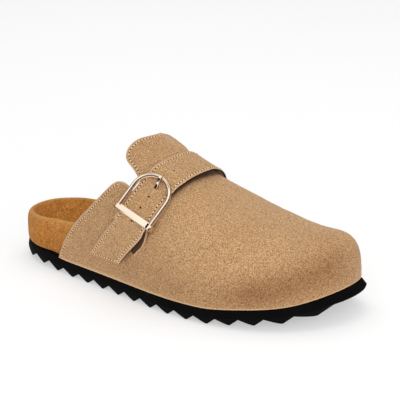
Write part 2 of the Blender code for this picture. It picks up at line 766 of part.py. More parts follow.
def make_anchor(leather, frame):
    """Leather tab sewn to the quarter and folded round the buckle's hinge bar."""
    loop = HINGE_BAR_DIAMETER / 2 + HINGE_PLAY + TAB_LEATHER / 2
    hinge = np.array(frame @ Vector((0, 0, -HINGE_DROP)))
    station, girth = strap_place(STRAP_LENGTHS, 0)
    gaps = np.linalg.norm(skin(station, girth) - hinge, axis=1)
    hinge_length, hinge_height = STRAP_LENGTHS[gaps.argmin()], gaps.min()
    inner = JOINT_GAP + TAB_LEATHER / 2
    outer = inner + TAB_LEATHER + JOINT_GAP
    # rows of the tab's middle line: distance below the hinge bar, height over the upper
    line = [(share * TAB_LENGTH, inner) for share in (1, 0.7, 0.45)]
    line += [(0.0030, hinge_height - 0.85 * loop)]
    line += [(-loop * sin(a), hinge_height - loop * cos(a)) for a in np.linspace(0, pi, 9)]
    line += [(0.0030, hinge_height + 0.55 * loop), (0.3 * TAB_LENGTH, outer + 0.0009)]
    line += [(0.47 * TAB_LENGTH, outer), (0.7 * TAB_LENGTH, outer), (0.95 * TAB_LENGTH, outer)]
    line = np.array(line)
    slope = np.gradient(line, axis=0)
    slope /= np.linalg.norm(slope, axis=1, keepdims=True)
    sides = np.linspace(-0.5, 0.5, 5) * TAB_WIDTH
    grids = []
    for half in (-0.5, 0.5):
        down = line[:, 0] - slope[:, 1] * half * TAB_LEATHER
        lift = line[:, 1] + slope[:, 0] * half * TAB_LEATHER
        length, side = np.meshgrid(hinge_length + down, sides, indexing="ij")
        station, girth = strap_place(length, side)
        on_skin = skin(station, girth) + skin_normal(station, girth) * lift[:, None, None]
        at_bar = np.array([[frame @ Vector((b, -d, h - hinge_height - HINGE_DROP)) for b in sides]
                           for d, h in zip(down, lift)])
        settled = ease(line[:, 0], 0.0022, 0.0095)[:, None, None]
        grids.append(at_bar + (on_skin - at_bar) * settled)
    tab = sheet_body("buckle_anchor", grids[0], grids[1], leather)
    slot = box("prong_roll_slot", frame, (0, 0.001, -HINGE_DROP),
               (PRONG_WIDTH + 2 * PRONG_SLOT_PLAY, 0.0075, 2.2 * HINGE_DROP))
    combine(tab, slot, "DIFFERENCE")
    return tab


def main():
    clear_scene()
    rubber = material("black_rubber", (0.012, 0.012, 0.013), 0.62)
    brown_suede = material("footbed_suede", (0.52, 0.26, 0.085), 0.90)
    tan_suede = material("upper_suede", (0.42, 0.28, 0.165), 0.92)
    rose_metal = material("rose_gold_metal", (0.93, 0.76, 0.66), 0.16, 1.0)
    frame = buckle_frame_matrix()
    make_outsole(rubber)
    make_footbed(brown_suede)
    make_upper(tan_suede)
    make_strap(tan_suede, frame)
    make_buckle_frame(rose_metal, frame)
    make_prong(rose_metal, frame)
    make_anchor(tan_suede, frame)


main()
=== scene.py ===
import bpy
import bmesh
import numpy as np
from math import cos, pi, radians, sin, tan
from mathutils import Matrix, Vector
from mathutils.geometry import delaunay_2d_cdt


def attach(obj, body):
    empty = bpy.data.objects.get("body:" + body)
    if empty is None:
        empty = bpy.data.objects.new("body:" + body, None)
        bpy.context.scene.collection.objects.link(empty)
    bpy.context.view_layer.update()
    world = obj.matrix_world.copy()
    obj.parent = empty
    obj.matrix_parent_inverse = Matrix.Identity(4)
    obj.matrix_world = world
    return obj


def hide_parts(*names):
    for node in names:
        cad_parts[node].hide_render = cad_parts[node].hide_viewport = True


# Clog slipper, right foot. Metres, +X to the toe, +Y to the inner side, floor at z = 0.
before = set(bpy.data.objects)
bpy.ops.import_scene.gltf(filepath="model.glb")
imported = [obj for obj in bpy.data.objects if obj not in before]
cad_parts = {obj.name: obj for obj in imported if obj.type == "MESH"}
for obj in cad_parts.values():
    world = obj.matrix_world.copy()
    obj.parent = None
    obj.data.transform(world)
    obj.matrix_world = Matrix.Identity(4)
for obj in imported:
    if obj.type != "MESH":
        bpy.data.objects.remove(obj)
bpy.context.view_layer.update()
print("frame loaded")

# sizes that more than one piece reads
shoe = {"length": 0.266, "ballWidth": 0.1025, "instep": 0.107, "gap": 0.0003}
sole = {"thickness": 0.0098, "flareHeel": 0.0008, "flareToe": 0.0038, "widest": 0.50,
        "pitch": 0.0158, "depth": 0.0045, "tipFlat": 0.0012, "rise": 0.42,
        "firstTooth": 0.0152, "lastRoom": 0.0130}
bed = {"rim": 0.041, "cup": 0.012, "bulge": 0.0008, "clearance": 0.0005}
upper = {"wall": 0.0022, "pattern": (0.40, 0.11), "fanStart": 0.50, "fanEnd": 0.78, "fanRate": 0.20,
         "normalLimit": 0.998}
# the releases are runs along the buckle where the strap leaves the bar and the arch
strap = {"width": 0.0240, "thickness": 0.0018, "tailCut": radians(40), "cutReach": 0.040,
         "dip": (0.0155, 0.0195), "tailRelease": (-0.0065, 0.0015), "archRelease": (0.0325, 0.0430),
         "frontRelease": 48.0}
buckle = {"sidePlay": 0.0005, "wire": 0.0028, "reach": 0.0333, "barWidth": 0.0050, "barThickness": 0.0016,
          "hinge": 0.0019, "wireRoot": 0.0012, "inset": 0.0002, "blockRim": 0.0003, "drop": 0.0054,
          "hingePlay": 0.00025, "prongWidth": 0.0024, "prongThickness": 0.0010, "slotPlay": 0.0004,
          "barSite": (0.4905, -0.6243, 0.0091), "archSite": (0.5080, -0.3510, 0.0072),
          "prongSlot": (0.0215, 0.0275)}

# share of the length, lateral reach, medial reach (shares of half the ball width)
outlineTable = [
    (0.02, 0.320, 0.310), (0.05, 0.450, 0.440), (0.10, 0.560, 0.560), (0.20, 0.665, 0.660),
    (0.30, 0.748, 0.668), (0.40, 0.836, 0.672), (0.50, 0.931, 0.735), (0.60, 1.000, 0.865),
    (0.70, 0.995, 0.985), (0.80, 0.885, 1.000), (0.90, 0.600, 0.940), (0.97, 0.165, 0.820)]
toeTipReach = 0.40
# share of the length, underside, ridge, ridge's sideways place, power of the section
sectionTable = np.array([
    (0.00, 0.034, 0.94, 0.00, 2.6), (0.12, 0.020, 0.97, 0.00, 2.6), (0.22, 0.000, 1.00, 0.02, 2.8),
    (0.40, 0.000, 1.01, 0.08, 2.8), (0.50, 0.000, 0.87, 0.12, 2.5), (0.60, 0.000, 0.735, 0.15, 2.5),
    (0.68, 0.000, 0.65, 0.21, 2.6), (0.80, 0.026, 0.565, 0.26, 2.6), (0.90, 0.052, 0.555, 0.33, 2.7),
    (1.00, 0.115, 0.72, 0.36, 2.7)])
# girth, station of the middle line, lift of the back edge, lift of the front edge
strapTable = np.array([
    (0.640, 0.5080, 0.0003, 0.0003), (0.450, 0.5200, 0.0003, 0.0003), (0.250, 0.5265, 0.0003, 0.0022),
    (0.040, 0.5265, 0.0005, 0.0044), (-0.200, 0.5190, 0.0006, 0.0036), (-0.370, 0.5100, 0.0010, 0.0034),
    (-0.490, 0.5004, 0.0020, 0.0040), (-0.600, 0.4924, 0.0040, 0.0042), (-0.665, 0.4864, 0.0042, 0.0046),
    (-0.760, 0.4635, 0.0034, 0.0040), (-0.870, 0.4320, 0.0031, 0.0040),
    (-0.955, 0.4070, 0.0026, 0.0036)])


def spline(xs, ys, at):
    xs, ys, at = (np.asarray(v, float) for v in (xs, ys, at))
    step = np.diff(xs)
    rise = np.diff(ys) / step
    count = len(xs)
    system = np.eye(count)
    right = np.zeros(count)
    for i in range(1, count - 1):
        system[i, i - 1:i + 2] = step[i - 1], 2 * (step[i - 1] + step[i]), step[i]
        right[i] = 6 * (rise[i] - rise[i - 1])
    bend = np.linalg.solve(system, right)
    k = np.clip(np.searchsorted(xs, at) - 1, 0, count - 2)
    d = at - xs[k]
    slope = rise[k] - step[k] * (2 * bend[k] + bend[k + 1]) / 6
    return ys[k] + d * slope + d**2 * bend[k] / 2 + d**3 * (bend[k + 1] - bend[k]) / (6 * step[k])


def levelCurve(xs, ys, at):
    # passes through the points and never overshoots
    xs, ys, at = (np.asarray(v, float) for v in (xs, ys, at))
    step = np.diff(xs)
    rise = np.diff(ys) / step
    slope = np.zeros(len(xs))
    for i in range(1, len(xs) - 1):
        if rise[i - 1] * rise[i] > 0:
            slope[i] = 2 / (1 / rise[i - 1] + 1 / rise[i])
    slope[0], slope[-1] = rise[0], rise[-1]
    k = np.clip(np.searchsorted(xs, at) - 1, 0, len(xs) - 2)
    h = step[k]
    u = (at - xs[k]) / h
    return ((1 + 2 * u) * (1 - u)**2 * ys[k] + u * (1 - u)**2 * h * slope[k]
            + u**2 * (3 - 2 * u) * ys[k + 1] + u**2 * (u - 1) * h * slope[k + 1])


def ease(value, start, end):
    u = np.clip((np.asarray(value, float) - start) / (end - start), 0, 1)
    return u * u * (3 - 2 * u)


def bell(value, centre, reach):
    return np.exp(-((np.asarray(value, float) - centre) / reach)**2)


def unit(rows):
    return rows / np.linalg.norm(rows, axis=-1, keepdims=True)


def runLength(points):
    # how far along a path each of its points lies
    return np.concatenate([[0], np.cumsum(np.linalg.norm(np.diff(points, axis=0), axis=1))])


def shareAt(angle):
    return (1 - np.cos(angle)) / 2


def closedOutline():
    rows = [(0.0, 0.0)]
    rows += [(np.arccos(1 - 2 * share), -lateral) for share, lateral, _ in outlineTable]
    rows += [(pi, toeTipReach)]
    rows += [(2 * pi - np.arccos(1 - 2 * share), medial) for share, _, medial in reversed(outlineTable)]
    turn = np.array(rows)
    whole = np.array([2 * pi, 0.0])
    rows = np.vstack([turn - whole, turn, turn + whole])
    reach = spline(rows[:, 0], rows[:, 1], np.linspace(0, 2 * pi, 721))
    lateralSide = rows[:, 1] < 0
    rows[lateralSide, 1] /= -reach.min()
    rows[~lateralSide, 1] /= reach.max()
    return rows


outlineRows = closedOutline()


def outline(angle, inset=0.0, step=1e-4):
    angle = np.asarray(angle, float)

    def plan(at):
        reach = spline(outlineRows[:, 0], outlineRows[:, 1], np.mod(at, 2 * pi))
        return np.stack([-np.cos(at) * shoe["length"] / 2, reach * shoe["ballWidth"] / 2], -1)

    along = unit(plan(angle + step) - plan(angle - step))
    inward = np.stack([-along[..., 1], along[..., 0]], -1)
    return plan(angle) + inward * np.asarray(inset, float)[..., None]


def section(column, share):
    return spline(sectionTable[:, 0], sectionTable[:, column], share)


def underside(share):
    return levelCurve(sectionTable[:, 0], sectionTable[:, 1], share) * shoe["instep"]


def soleTop(share):
    return underside(share) + sole["thickness"]


def soleFlare(share):
    return sole["flareHeel"] + (sole["flareToe"] - sole["flareHeel"]) * share**2


def ridgeShare(station):
    begin = upper["fanStart"]
    startRate = pi / 2 * sin(pi * begin) * (1 - begin)
    endRate = upper["fanRate"] * (1 - begin)
    u = np.clip((station - begin) / (1 - begin), 0, 1)
    fan = ((2 * u**3 - 3 * u**2 + 1) * shareAt(pi * begin) + (u**3 - 2 * u**2 + u) * startRate
           + (3 * u**2 - 2 * u**3) * upper["fanEnd"] + (u**3 - u**2) * endRate)
    return np.where(station < begin, shareAt(pi * station), fan)


def skin(station, girth):
    # the upper's outer face: station 0 heel to 1 toe, girth -1 lateral edge, 0 ridge, 1 medial edge
    station, girth = np.broadcast_arrays(np.asarray(station, float), np.asarray(girth, float))
    pastToe = station > 1
    station = np.where(pastToe, 2 - station, station)
    girth = np.where(pastToe, -girth, girth)
    share = shareAt(pi * station)
    foot = outline(np.where(girth < 0, pi * station, 2 * pi - pi * station), soleFlare(share))
    along = ridgeShare(station)
    ridge = np.stack([(along - 0.5) * shoe["length"], section(3, along) * shoe["ballWidth"] / 2], -1)
    power = section(4, share)
    turn = np.abs(girth) * pi / 2
    across, up = np.sin(turn), np.abs(np.cos(turn))
    size = (across**power + up**power)**(-1 / power)
    plan = ridge + (foot - ridge) * (across * size)[..., None]
    base = soleTop(share) + shoe["gap"]
    top = section(2, plan[..., 0] / shoe["length"] + 0.5) * shoe["instep"]
    height = base + (top - base) * (up * size)
    return np.concatenate([plan, height[..., None]], -1)


def skinRates(station, girth, step=1e-3):
    station, girth = np.broadcast_arrays(np.asarray(station, float), np.asarray(girth, float))
    safe = np.where(girth < 0, np.clip(girth, step - 1, -step), np.clip(girth, step, 1 - step))
    byStation = (skin(station + step, girth) - skin(station - step, girth)) / (2 * step)
    byGirth = (skin(station, safe + step) - skin(station, safe - step)) / (2 * step)
    return byStation, byGirth


def skinNormal(station, girth):
    byStation, byGirth = skinRates(np.minimum(station, upper["normalLimit"]), girth)
    return unit(np.cross(byStation, byGirth))


def stepped(station, girth, rates, shift):
    # the station and girth after a small shift in metres along the skin
    byStation, byGirth = rates
    ss, sg, gg = ((a * b).sum(-1) for a, b in (
        (byStation, byStation), (byStation, byGirth), (byGirth, byGirth)))
    ps, pg = (shift * byStation).sum(-1), (shift * byGirth).sum(-1)
    size = ss * gg - sg * sg
    return station + (gg * ps - sg * pg) / size, girth + (ss * pg - sg * ps) / size


def buckleMatrix():
    # X along the bar to the toe, Y to the arch's top, Z out of the shoe
    def site(place):
        return Vector(skin(*place[:2]) + skinNormal(*place[:2]) * place[2])

    bar, arch = site(buckle["barSite"]), site(buckle["archSite"])
    up = (arch - bar).normalized()
    normal = Vector(skinNormal(*buckle["barSite"][:2]) + skinNormal(*buckle["archSite"][:2]))
    out = (normal - up * normal.dot(up)).normalized()
    return np.array(Matrix((up.cross(out), up, out)).transposed()), np.array(bar)


buckleTurn, buckleOrigin = buckleMatrix()


def inBuckle(points):
    # points given in the buckle's axes, as world points
    return np.asarray(points, float) @ buckleTurn.T + buckleOrigin


def strapMiddle(girth):
    return spline(-strapTable[:, 0], strapTable[:, 1], -girth), girth


runGirths = np.linspace(strapTable[0, 0], strapTable[-1, 0], 240)
runLengths = runLength(skin(*strapMiddle(runGirths)))
strapLength = runLengths[-1]


def strapPlace(length, side, step=0.001):
    # station and girth of a point of the strap: length from its sewn end, side from its middle
    length, side = np.broadcast_arrays(np.asarray(length, float), np.asarray(side, float))

    def middle(at):
        return strapMiddle(np.interp(at, runLengths, runGirths))

    inside = np.clip(length, step, strapLength - step)
    before, after = middle(inside - step), middle(inside + step)
    station, girth = middle(length)
    rates = skinRates(station, girth)
    along = rates[0] * (after[0] - before[0])[..., None] + rates[1] * (after[1] - before[1])[..., None]
    across = unit(np.cross(np.cross(*rates), along))
    return stepped(station, girth, rates, across * side[..., None])


def strapLift(length, side, base, normal):
    girth = np.interp(length, runLengths, runGirths)
    back, front = (levelCurve(-strapTable[:, 0], strapTable[:, i], -girth) for i in (2, 3))
    free = back + (front - back) * (side / strap["width"] + 0.5)
    local = (base - buckleOrigin) @ buckleTurn
    up = (normal @ buckleTurn)[..., 2]
    underBar, underArch = (-buckle[key] / 2 - shoe["gap"] - strap["thickness"]
                           for key in ("barThickness", "wire"))
    height = underBar + (underArch - underBar) * ease(local[..., 1], *strap["dip"])
    held = (height - local[..., 2]) / up
    # the front half comes free sooner, where the round wire has already passed it
    past = local[..., 1] + strap["frontRelease"] * np.maximum(local[..., 0], 0)**2
    hold = ease(local[..., 1], *strap["tailRelease"]) * (1 - ease(past, *strap["archRelease"]))
    return np.maximum(free + (held - free) * hold, shoe["gap"])


def onStrap(length, side, height):
    # a point of the strap and the normal there, height over the strap's underside
    length, side = np.asarray(length, float), np.asarray(side, float)
    slant = ease(length, strapLength - strap["cutReach"], strapLength)
    length = length - slant * (side + strap["width"] / 2) * tan(strap["tailCut"])
    station, girth = strapPlace(length, side)
    base, normal = skin(station, girth), skinNormal(station, girth)
    lift = strapLift(length, side, base, normal)
    return base + normal * (lift + height)[..., None], normal


def linear(red, green, blue):
    parts = [v / 255 for v in (red, green, blue)]
    return tuple(v / 12.92 if v < 0.04045 else ((v + 0.055) / 1.055)**2.4 for v in parts) + (1.0,)


class TreeBench:
    # short calls for building a node tree

    def __init__(self, tree):
        self.tree = tree

    def add(self, kind, inputs=None, **settings):
        node = self.tree.nodes.new(kind)
        for key, value in settings.items():
            setattr(node, key, value)
        for key, value in (inputs or {}).items():
            self.feed(node.inputs[key], value)
        return node

    def feed(self, socket, value):
        if isinstance(value, bpy.types.NodeSocket):
            self.tree.links.new(value, socket)
        elif value is not None:
            socket.default_value = value


class MaterialBench(TreeBench):

    def __init__(self, name):
        self.material = bpy.data.materials.new(name)
        self.material.use_nodes = True
        super().__init__(self.material.node_tree)
        self.shader = self.tree.nodes["Principled BSDF"]
        self.place = self.add("ShaderNodeTexCoord").outputs["Object"]

    def noise(self, scale, detail=2.0, roughness=0.5, distortion=0.0, stretch=None):
        where = self.place
        if stretch:
            where = self.add("ShaderNodeMapping", {"Scale": stretch, "Vector": where}).outputs["Vector"]
        return self.add("ShaderNodeTexNoise", {
            "Vector": where, "Scale": scale, "Detail": detail, "Roughness": roughness,
            "Distortion": distortion}).outputs["Fac"]

    def ramp(self, value, low, high, start=0.0, end=1.0):
        return self.add("ShaderNodeMapRange", {
            "Value": value, "From Min": low, "From Max": high, "To Min": start, "To Max": end},
            clamp=True).outputs["Result"]

    def multiply(self, first, second):
        return self.add("ShaderNodeMath", {0: first, 1: second}, operation="MULTIPLY").outputs[0]

    def mix(self, factor, first, second, blend="MIX"):
        return self.add("ShaderNodeMix", {0: factor, 6: first, 7: second},
                        data_type="RGBA", blend_type=blend).outputs[2]

    def attribute(self, name):
        return self.add("ShaderNodeAttribute", attribute_name=name).outputs["Fac"]

    def bump(self, height, distance, strength=1.0, below=None):
        return self.add("ShaderNodeBump", {
            "Distance": distance, "Strength": strength, "Height": height, "Normal": below}).outputs["Normal"]

    def finish(self, colour, normal=None, roughness=0.5, **constants):
        values = {"Base Color": colour, "Roughness": roughness, "Normal": normal}
        values.update({key.replace("_", " "): value for key, value in constants.items()})
        for key, value in values.items():
            self.feed(self.shader.inputs[key], value)
        return self.material


# each look's shadeTone is the colour of painted shade, and its darkest brown is the colour of painted shadow
upperLook = {"base": linear(189, 151, 109), "brushed": linear(185, 146, 104), "dark": linear(104, 70, 40),
             "shadeTone": linear(146, 107, 71), "rim": linear(214, 178, 138), "hidden": linear(70, 46, 28),
             "grain": 1300.0, "nap": 520.0, "cloud": 30.0, "napMix": 0.12, "speckle": (1.60, 0.38),
             "bump": 0.9, "roughness": 0.95, "sheen": 0.36, "sheenTint": linear(238, 208, 190)}
bedLook = {"base": linear(184, 123, 58), "brushed": linear(174, 112, 50), "dark": linear(118, 70, 24),
           "shadeTone": linear(150, 92, 38), "rim": linear(216, 162, 100), "hidden": linear(44, 26, 14),
           "grain": 950.0, "nap": 300.0, "cloud": 45.0, "napMix": 0.42, "speckle": (1.50, 0.50),
           "bump": 0.6, "roughness": 0.93, "sheen": 0.15, "sheenTint": linear(245, 205, 160)}
liningLook = dict(upperLook, base=linear(171, 128, 88), brushed=linear(160, 118, 80),
                  shadeTone=linear(120, 84, 52), sheen=0.1, speckle=(1.12, 0.82))
# two tones mixed by one noise; a bump is a distance and a strength
edgeLook = {"noise": (900.0, 3.0, 0.6, 0.5), "spread": (0.35, 0.7), "roughness": 0.85, "specular": 0.2,
            "tones": (linear(222, 190, 154), linear(176, 134, 96)), "bump": (0.0002, 0.6)}
threadLook = {"noise": (2600.0, 1.0), "spread": (0.4, 0.7), "roughness": 0.75, "specular": 0.25,
              "tones": (linear(240, 217, 184), linear(200, 166, 126)), "bump": (0.00015, 0.6)}
# painted shade: the dark of the needle holes between stitches
holeShadeLook = {"noise": (1500.0, 1.0), "spread": (0.3, 0.7), "roughness": 0.95, "specular": 0.05,
            "tones": (linear(88, 58, 36), linear(58, 38, 24)), "bump": None}
# painted shadow: near black, for cut slots, blind pin holes and the strap's lower front edge
slotLook = {"noise": (800.0,), "spread": (0.0, 1.0), "roughness": 0.7, "specular": 0.5,
            "tones": (linear(14, 10, 8), linear(28, 20, 15)), "bump": None}
rubberLook = {"base": linear(8, 7, 7), "scuff": linear(18, 17, 17), "grain": 1300.0, "cloud": 60.0,
              "roughness": (0.64, 0.78), "specular": 0.06}
metalLook = {"base": linear(252, 231, 208), "flush": linear(240, 208, 186), "swirl": 70.0, "rub": 1500.0,
             "roughness": (0.06, 0.14)}


def suedeMaterial(name, look):
    # attributes: shade is painted shade, broken up by the nap; pale is a rubbed edge; deep is painted shadow
    # where the light doesn't reach
    bench = MaterialBench(name)
    grain = bench.noise(look["grain"], 3.0, 0.65)
    nap = bench.noise(look["nap"], 4.0, 0.6, 0.6)
    cloud = bench.noise(look["cloud"], 3.0, 0.55, 0.3)
    colour = bench.mix(bench.ramp(cloud, 0.35, 0.65), look["base"], look["brushed"])
    colour = bench.mix(bench.ramp(nap, 0.42, 0.66, 0.0, look["napMix"]), colour, look["dark"])
    # painted shade: darker where the shade attribute asks, broken up by the nap
    shade = bench.multiply(bench.attribute("shade"), bench.ramp(nap, 0.25, 0.6, 0.65, 1.15))
    colour = bench.mix(bench.ramp(shade, 0.0, 1.0), colour, look["shadeTone"])
    colour = bench.mix(1.0, colour, bench.ramp(grain, 0.32, 0.68, *look["speckle"]), "MULTIPLY")
    colour = bench.mix(bench.attribute("pale"), colour, look["rim"])
    # painted shadow where the deep attribute asks
    colour = bench.mix(bench.attribute("deep"), colour, look["hidden"])
    normal = bench.bump(grain, 0.00030, look["bump"], bench.bump(nap, 0.00035, 0.5))
    return bench.finish(colour, normal, look["roughness"], Sheen_Weight=look["sheen"],
                        Sheen_Roughness=0.45, Sheen_Tint=look["sheenTint"], Specular_IOR_Level=0.18)


def mottledMaterial(name, look):
    bench = MaterialBench(name)
    grain = bench.noise(*look["noise"])
    colour = bench.mix(bench.ramp(grain, *look["spread"]), *look["tones"])
    normal = bench.bump(grain, *look["bump"]) if look["bump"] else None
    return bench.finish(colour, normal, look["roughness"], Specular_IOR_Level=look["specular"])


def rubberMaterial():
    bench = MaterialBench("blackRubber")
    grain, cloud = bench.noise(rubberLook["grain"]), bench.noise(rubberLook["cloud"], 3.0)
    colour = bench.mix(bench.ramp(cloud, 0.45, 0.75, 0.0, 0.5), rubberLook["base"], rubberLook["scuff"])
    rough = bench.ramp(cloud, 0.3, 0.7, *rubberLook["roughness"])
    return bench.finish(colour, bench.bump(grain, 0.00012, 0.5), rough,
                        Specular_IOR_Level=rubberLook["specular"])


def metalMaterial():
    bench = MaterialBench("roseGoldMetal")
    swirl = bench.noise(metalLook["swirl"])
    rub = bench.noise(metalLook["rub"], 1.0, stretch=(1.0, 0.15, 1.0))
    rough = bench.ramp(rub, 0.35, 0.7, *metalLook["roughness"])
    colour = bench.mix(bench.ramp(swirl, 0.4, 0.7, 0.0, 0.5), metalLook["base"], metalLook["flush"])
    return bench.finish(colour, bench.bump(swirl, 0.00005, 0.25), rough, Metallic=1.0)


upperSuede = suedeMaterial("tanSuede", upperLook)
liningSuede = suedeMaterial("liningSuede", liningLook)
bedSuede = suedeMaterial("footbedSuede", bedLook)
rawEdge = mottledMaterial("rawLeatherEdge", edgeLook)
creamThread = mottledMaterial("creamThread", threadLook)
stitchHoleShade = mottledMaterial("stitchHoleShade", holeShadeLook)
slotShadow = mottledMaterial("slotShadow", slotLook)
blackRubber = rubberMaterial()
roseGold = metalMaterial()
print("materials made")


def linked(name, data):
    obj = bpy.data.objects.new(name, data)
    bpy.context.scene.collection.objects.link(obj)
    return obj


def meshObject(name, points, faces, materials, slots=None, crease=None, fields=None):
    mesh = bpy.data.meshes.new(name)
    mesh.from_pydata([tuple(map(float, p)) for p in points], [], [tuple(map(int, f)) for f in faces])
    for material in materials:
        mesh.materials.append(material)
    if slots is not None:
        mesh.polygons.foreach_set("material_index", np.asarray(slots, dtype=np.int32))
    for key, values in (fields or {}).items():
        layer = mesh.attributes.new(key, "FLOAT", "POINT")
        layer.data.foreach_set("value", np.asarray(values, dtype=np.float32))
    mesh.validate()
    mesh.shade_smooth()
    if crease:
        mesh.set_sharp_from_angle(angle=radians(crease))
    return linked(name, mesh)


def facesOut(obj):
    work = bmesh.new()
    work.from_mesh(obj.data)
    bmesh.ops.remove_doubles(work, verts=work.verts, dist=1e-7)
    bmesh.ops.recalc_face_normals(work, faces=work.faces)
    work.to_mesh(obj.data)
    work.free()
    return obj


def bake(obj):
    # the evaluated object as a plain mesh, its modifiers gone
    graph = bpy.context.evaluated_depsgraph_get()
    mesh = bpy.data.meshes.new_from_object(obj.evaluated_get(graph))
    obj.modifiers.clear()
    obj.data = mesh
    return obj


def boolean(obj, tools, operation="DIFFERENCE", crease=None):
    for tool in tools:
        change = obj.modifiers.new("cut", "BOOLEAN")
        change.operation = operation
        change.solver = "EXACT"
        change.object = tool
        change.material_mode = "TRANSFER"
    bake(obj)
    for tool in tools:
        bpy.data.objects.remove(tool, do_unlink=True)
    if crease:
        obj.data.shade_smooth()
        obj.data.set_sharp_from_angle(angle=radians(crease))
    return obj


def finishPiece(obj, node):
    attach(obj, "root")
    if node:
        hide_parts(node)
    print("piece", obj.name, len(obj.data.polygons), "faces")


def quads(rows, count):
    # the faces between neighbouring rings of a grid
    return [(r * count + k, r * count + (k + 1) % count, (r + 1) * count + (k + 1) % count,
             (r + 1) * count + k) for r in range(rows - 1) for k in range(count)]


def ringCap(start, count):
    # strips across the flat end of a ring of points
    return [tuple(dict.fromkeys(start + i % count for i in (k, k + 1, count - k - 1, count - k)))
            for k in range(count // 2)]


def prism(name, points, finish):
    # closed solid between two matching loops of points
    n = len(points) // 2
    faces = [tuple(range(n)), tuple(range(n, 2 * n))] + quads(2, n)
    return facesOut(meshObject(name, points, faces, [finish]))


def ribbon(name, place, lengths, width, thickness, corner, materials, acrossCount=16, rounds=4, fields=None):
    # closed band with rounded edges: place(length, side, height) gives its points
    # a third material, when given, goes on the lower half of the edge at +side; the strap gives painted
    # shadow there
    half, middle = width / 2, thickness / 2
    corner = min(corner, middle)
    turns = np.linspace(0, pi / 2, rounds + 1)
    quarter = [(half - corner + corner * sin(a), thickness - corner + corner * cos(a)) for a in turns]
    top = [(s, thickness) for s in np.linspace(-half + corner, half - corner, acrossCount)]
    right = quarter[1:] + [(s, thickness - h) for s, h in quarter[::-1][:-1]]
    loop = top + right + [(s, 0.0) for s, _ in top[::-1]] + [(-s, thickness - h) for s, h in right]
    loop = np.array(loop)
    count = len(loop)
    bottomStart = acrossCount + len(right)
    begin, end = lengths[0], lengths[-1]
    rows = [(begin + corner * (1 - sin(a)), corner * (1 - cos(a))) for a in turns[::-1]]
    rows += [(at, 0.0) for at in lengths if begin + corner < at < end - corner]
    rows += [(end - corner * (1 - sin(a)), corner * (1 - cos(a))) for a in turns]
    grid = np.array([np.column_stack([np.full(count, at), loop[:, 0] * (half - shrink) / half,
                                      middle + (loop[:, 1] - middle) * (middle - shrink) / middle])
                     for at, shrink in rows])
    points = place(grid[..., 0], grid[..., 1], grid[..., 2]).reshape(-1, 3)
    faces, slots = quads(len(rows), count), []
    for r in range(len(rows) - 1):
        ending = r < rounds or r >= len(rows) - 1 - rounds
        for k in range(count):
            flat = k < acrossCount - 1 or bottomStart <= k < bottomStart + acrossCount - 1
            low = len(materials) > 2 and acrossCount - 1 + rounds <= k < bottomStart
            slots.append(1 if ending else 0 if flat else 2 if low else 1)
    # the ends: strips from the top's row to the bottom's, and down the two sides
    mirror = [(bottomStart + acrossCount - 1 - k) % count for k in range(acrossCount)]
    for start, turned in ((0, False), ((len(rows) - 1) * count, True)):
        strips = [(k, k + 1, mirror[k + 1], mirror[k]) for k in range(acrossCount - 1)]
        strips.append(tuple(range(acrossCount - 1, bottomStart + 1)))
        strips.append((*range(bottomStart + acrossCount - 1, count), 0))
        for strip in strips:
            face = tuple(start + i for i in strip)
            faces.append(face[::-1] if turned else face)
            slots.append(1)
    values = {key: make(grid) for key, make in (fields or {}).items()}
    return facesOut(meshObject(name, points, faces, materials, slots, 60, values))


stitchSizes = {"pitch": 0.0026, "length": 0.00185, "width": 0.00082, "height": 0.00075, "lean": 0.15,
               "hole": 0.00105, "holeDepth": 0.00025, "sink": 0.00003, "seed": 4}


def repeatTree():
    # sets a small rounded bead on every point, turned by the point's own axes
    tree = bpy.data.node_groups.new("beadsOnPoints", "GeometryNodeTree")
    for label, kind in (("Points", "Geometry"), ("Bead Length", "Float"), ("Bead Width", "Float"),
                        ("Bead Height", "Float"), ("Lean", "Float"), ("Seed", "Int"),
                        ("Finish", "Material")):
        tree.interface.new_socket(label, in_out="INPUT", socket_type="NodeSocket" + kind)
    tree.interface.new_socket("Beads", in_out="OUTPUT", socket_type="NodeSocketGeometry")
    bench = TreeBench(tree)
    given = bench.add("NodeGroupInput").outputs
    bead = bench.add("GeometryNodeMeshUVSphere", {"Segments": 8, "Rings": 6, "Radius": 0.5})
    size = bench.add("ShaderNodeCombineXYZ", {
        "X": given["Bead Length"], "Y": given["Bead Width"], "Z": given["Bead Height"]})
    shaped = bench.add("GeometryNodeTransform", {"Geometry": bead.outputs["Mesh"], "Scale": size.outputs[0]})
    smooth = bench.add("GeometryNodeSetShadeSmooth", {"Geometry": shaped.outputs[0]})
    outward, along = (
        bench.add("GeometryNodeInputNamedAttribute", {"Name": label}, data_type="FLOAT_VECTOR").outputs[0]
        for label in ("outward", "along"))
    turn = bench.add("FunctionNodeAxesToRotation", {0: outward, 1: along},
                     primary_axis="Z", secondary_axis="X")
    # each bead leans by its own small random angle
    least = bench.add("ShaderNodeMath", {0: given["Lean"], 1: -0.2}, operation="MULTIPLY")
    spread = bench.add("FunctionNodeRandomValue", {"Seed": given["Seed"]}, data_type="FLOAT")
    for label, value in (("Min", least.outputs[0]), ("Max", given["Lean"])):
        bench.feed([s for s in spread.inputs if s.name == label and s.enabled][0], value)
    value = [s for s in spread.outputs if s.enabled][0]
    lean = bench.add("ShaderNodeCombineXYZ", {"Z": value})
    placed = bench.add("GeometryNodeInstanceOnPoints", {
        "Points": given["Points"], "Instance": smooth.outputs[0], "Rotation": turn.outputs[0]})
    turned = bench.add("GeometryNodeRotateInstances", {
        "Instances": placed.outputs[0], "Rotation": lean.outputs[0]})
    real = bench.add("GeometryNodeRealizeInstances", {0: turned.outputs[0]})
    painted = bench.add("GeometryNodeSetMaterial", {
        "Geometry": real.outputs[0], "Material": given["Finish"]})
    bench.add("NodeGroupOutput", {0: painted.outputs[0]})
    return tree


beadTree = repeatTree()


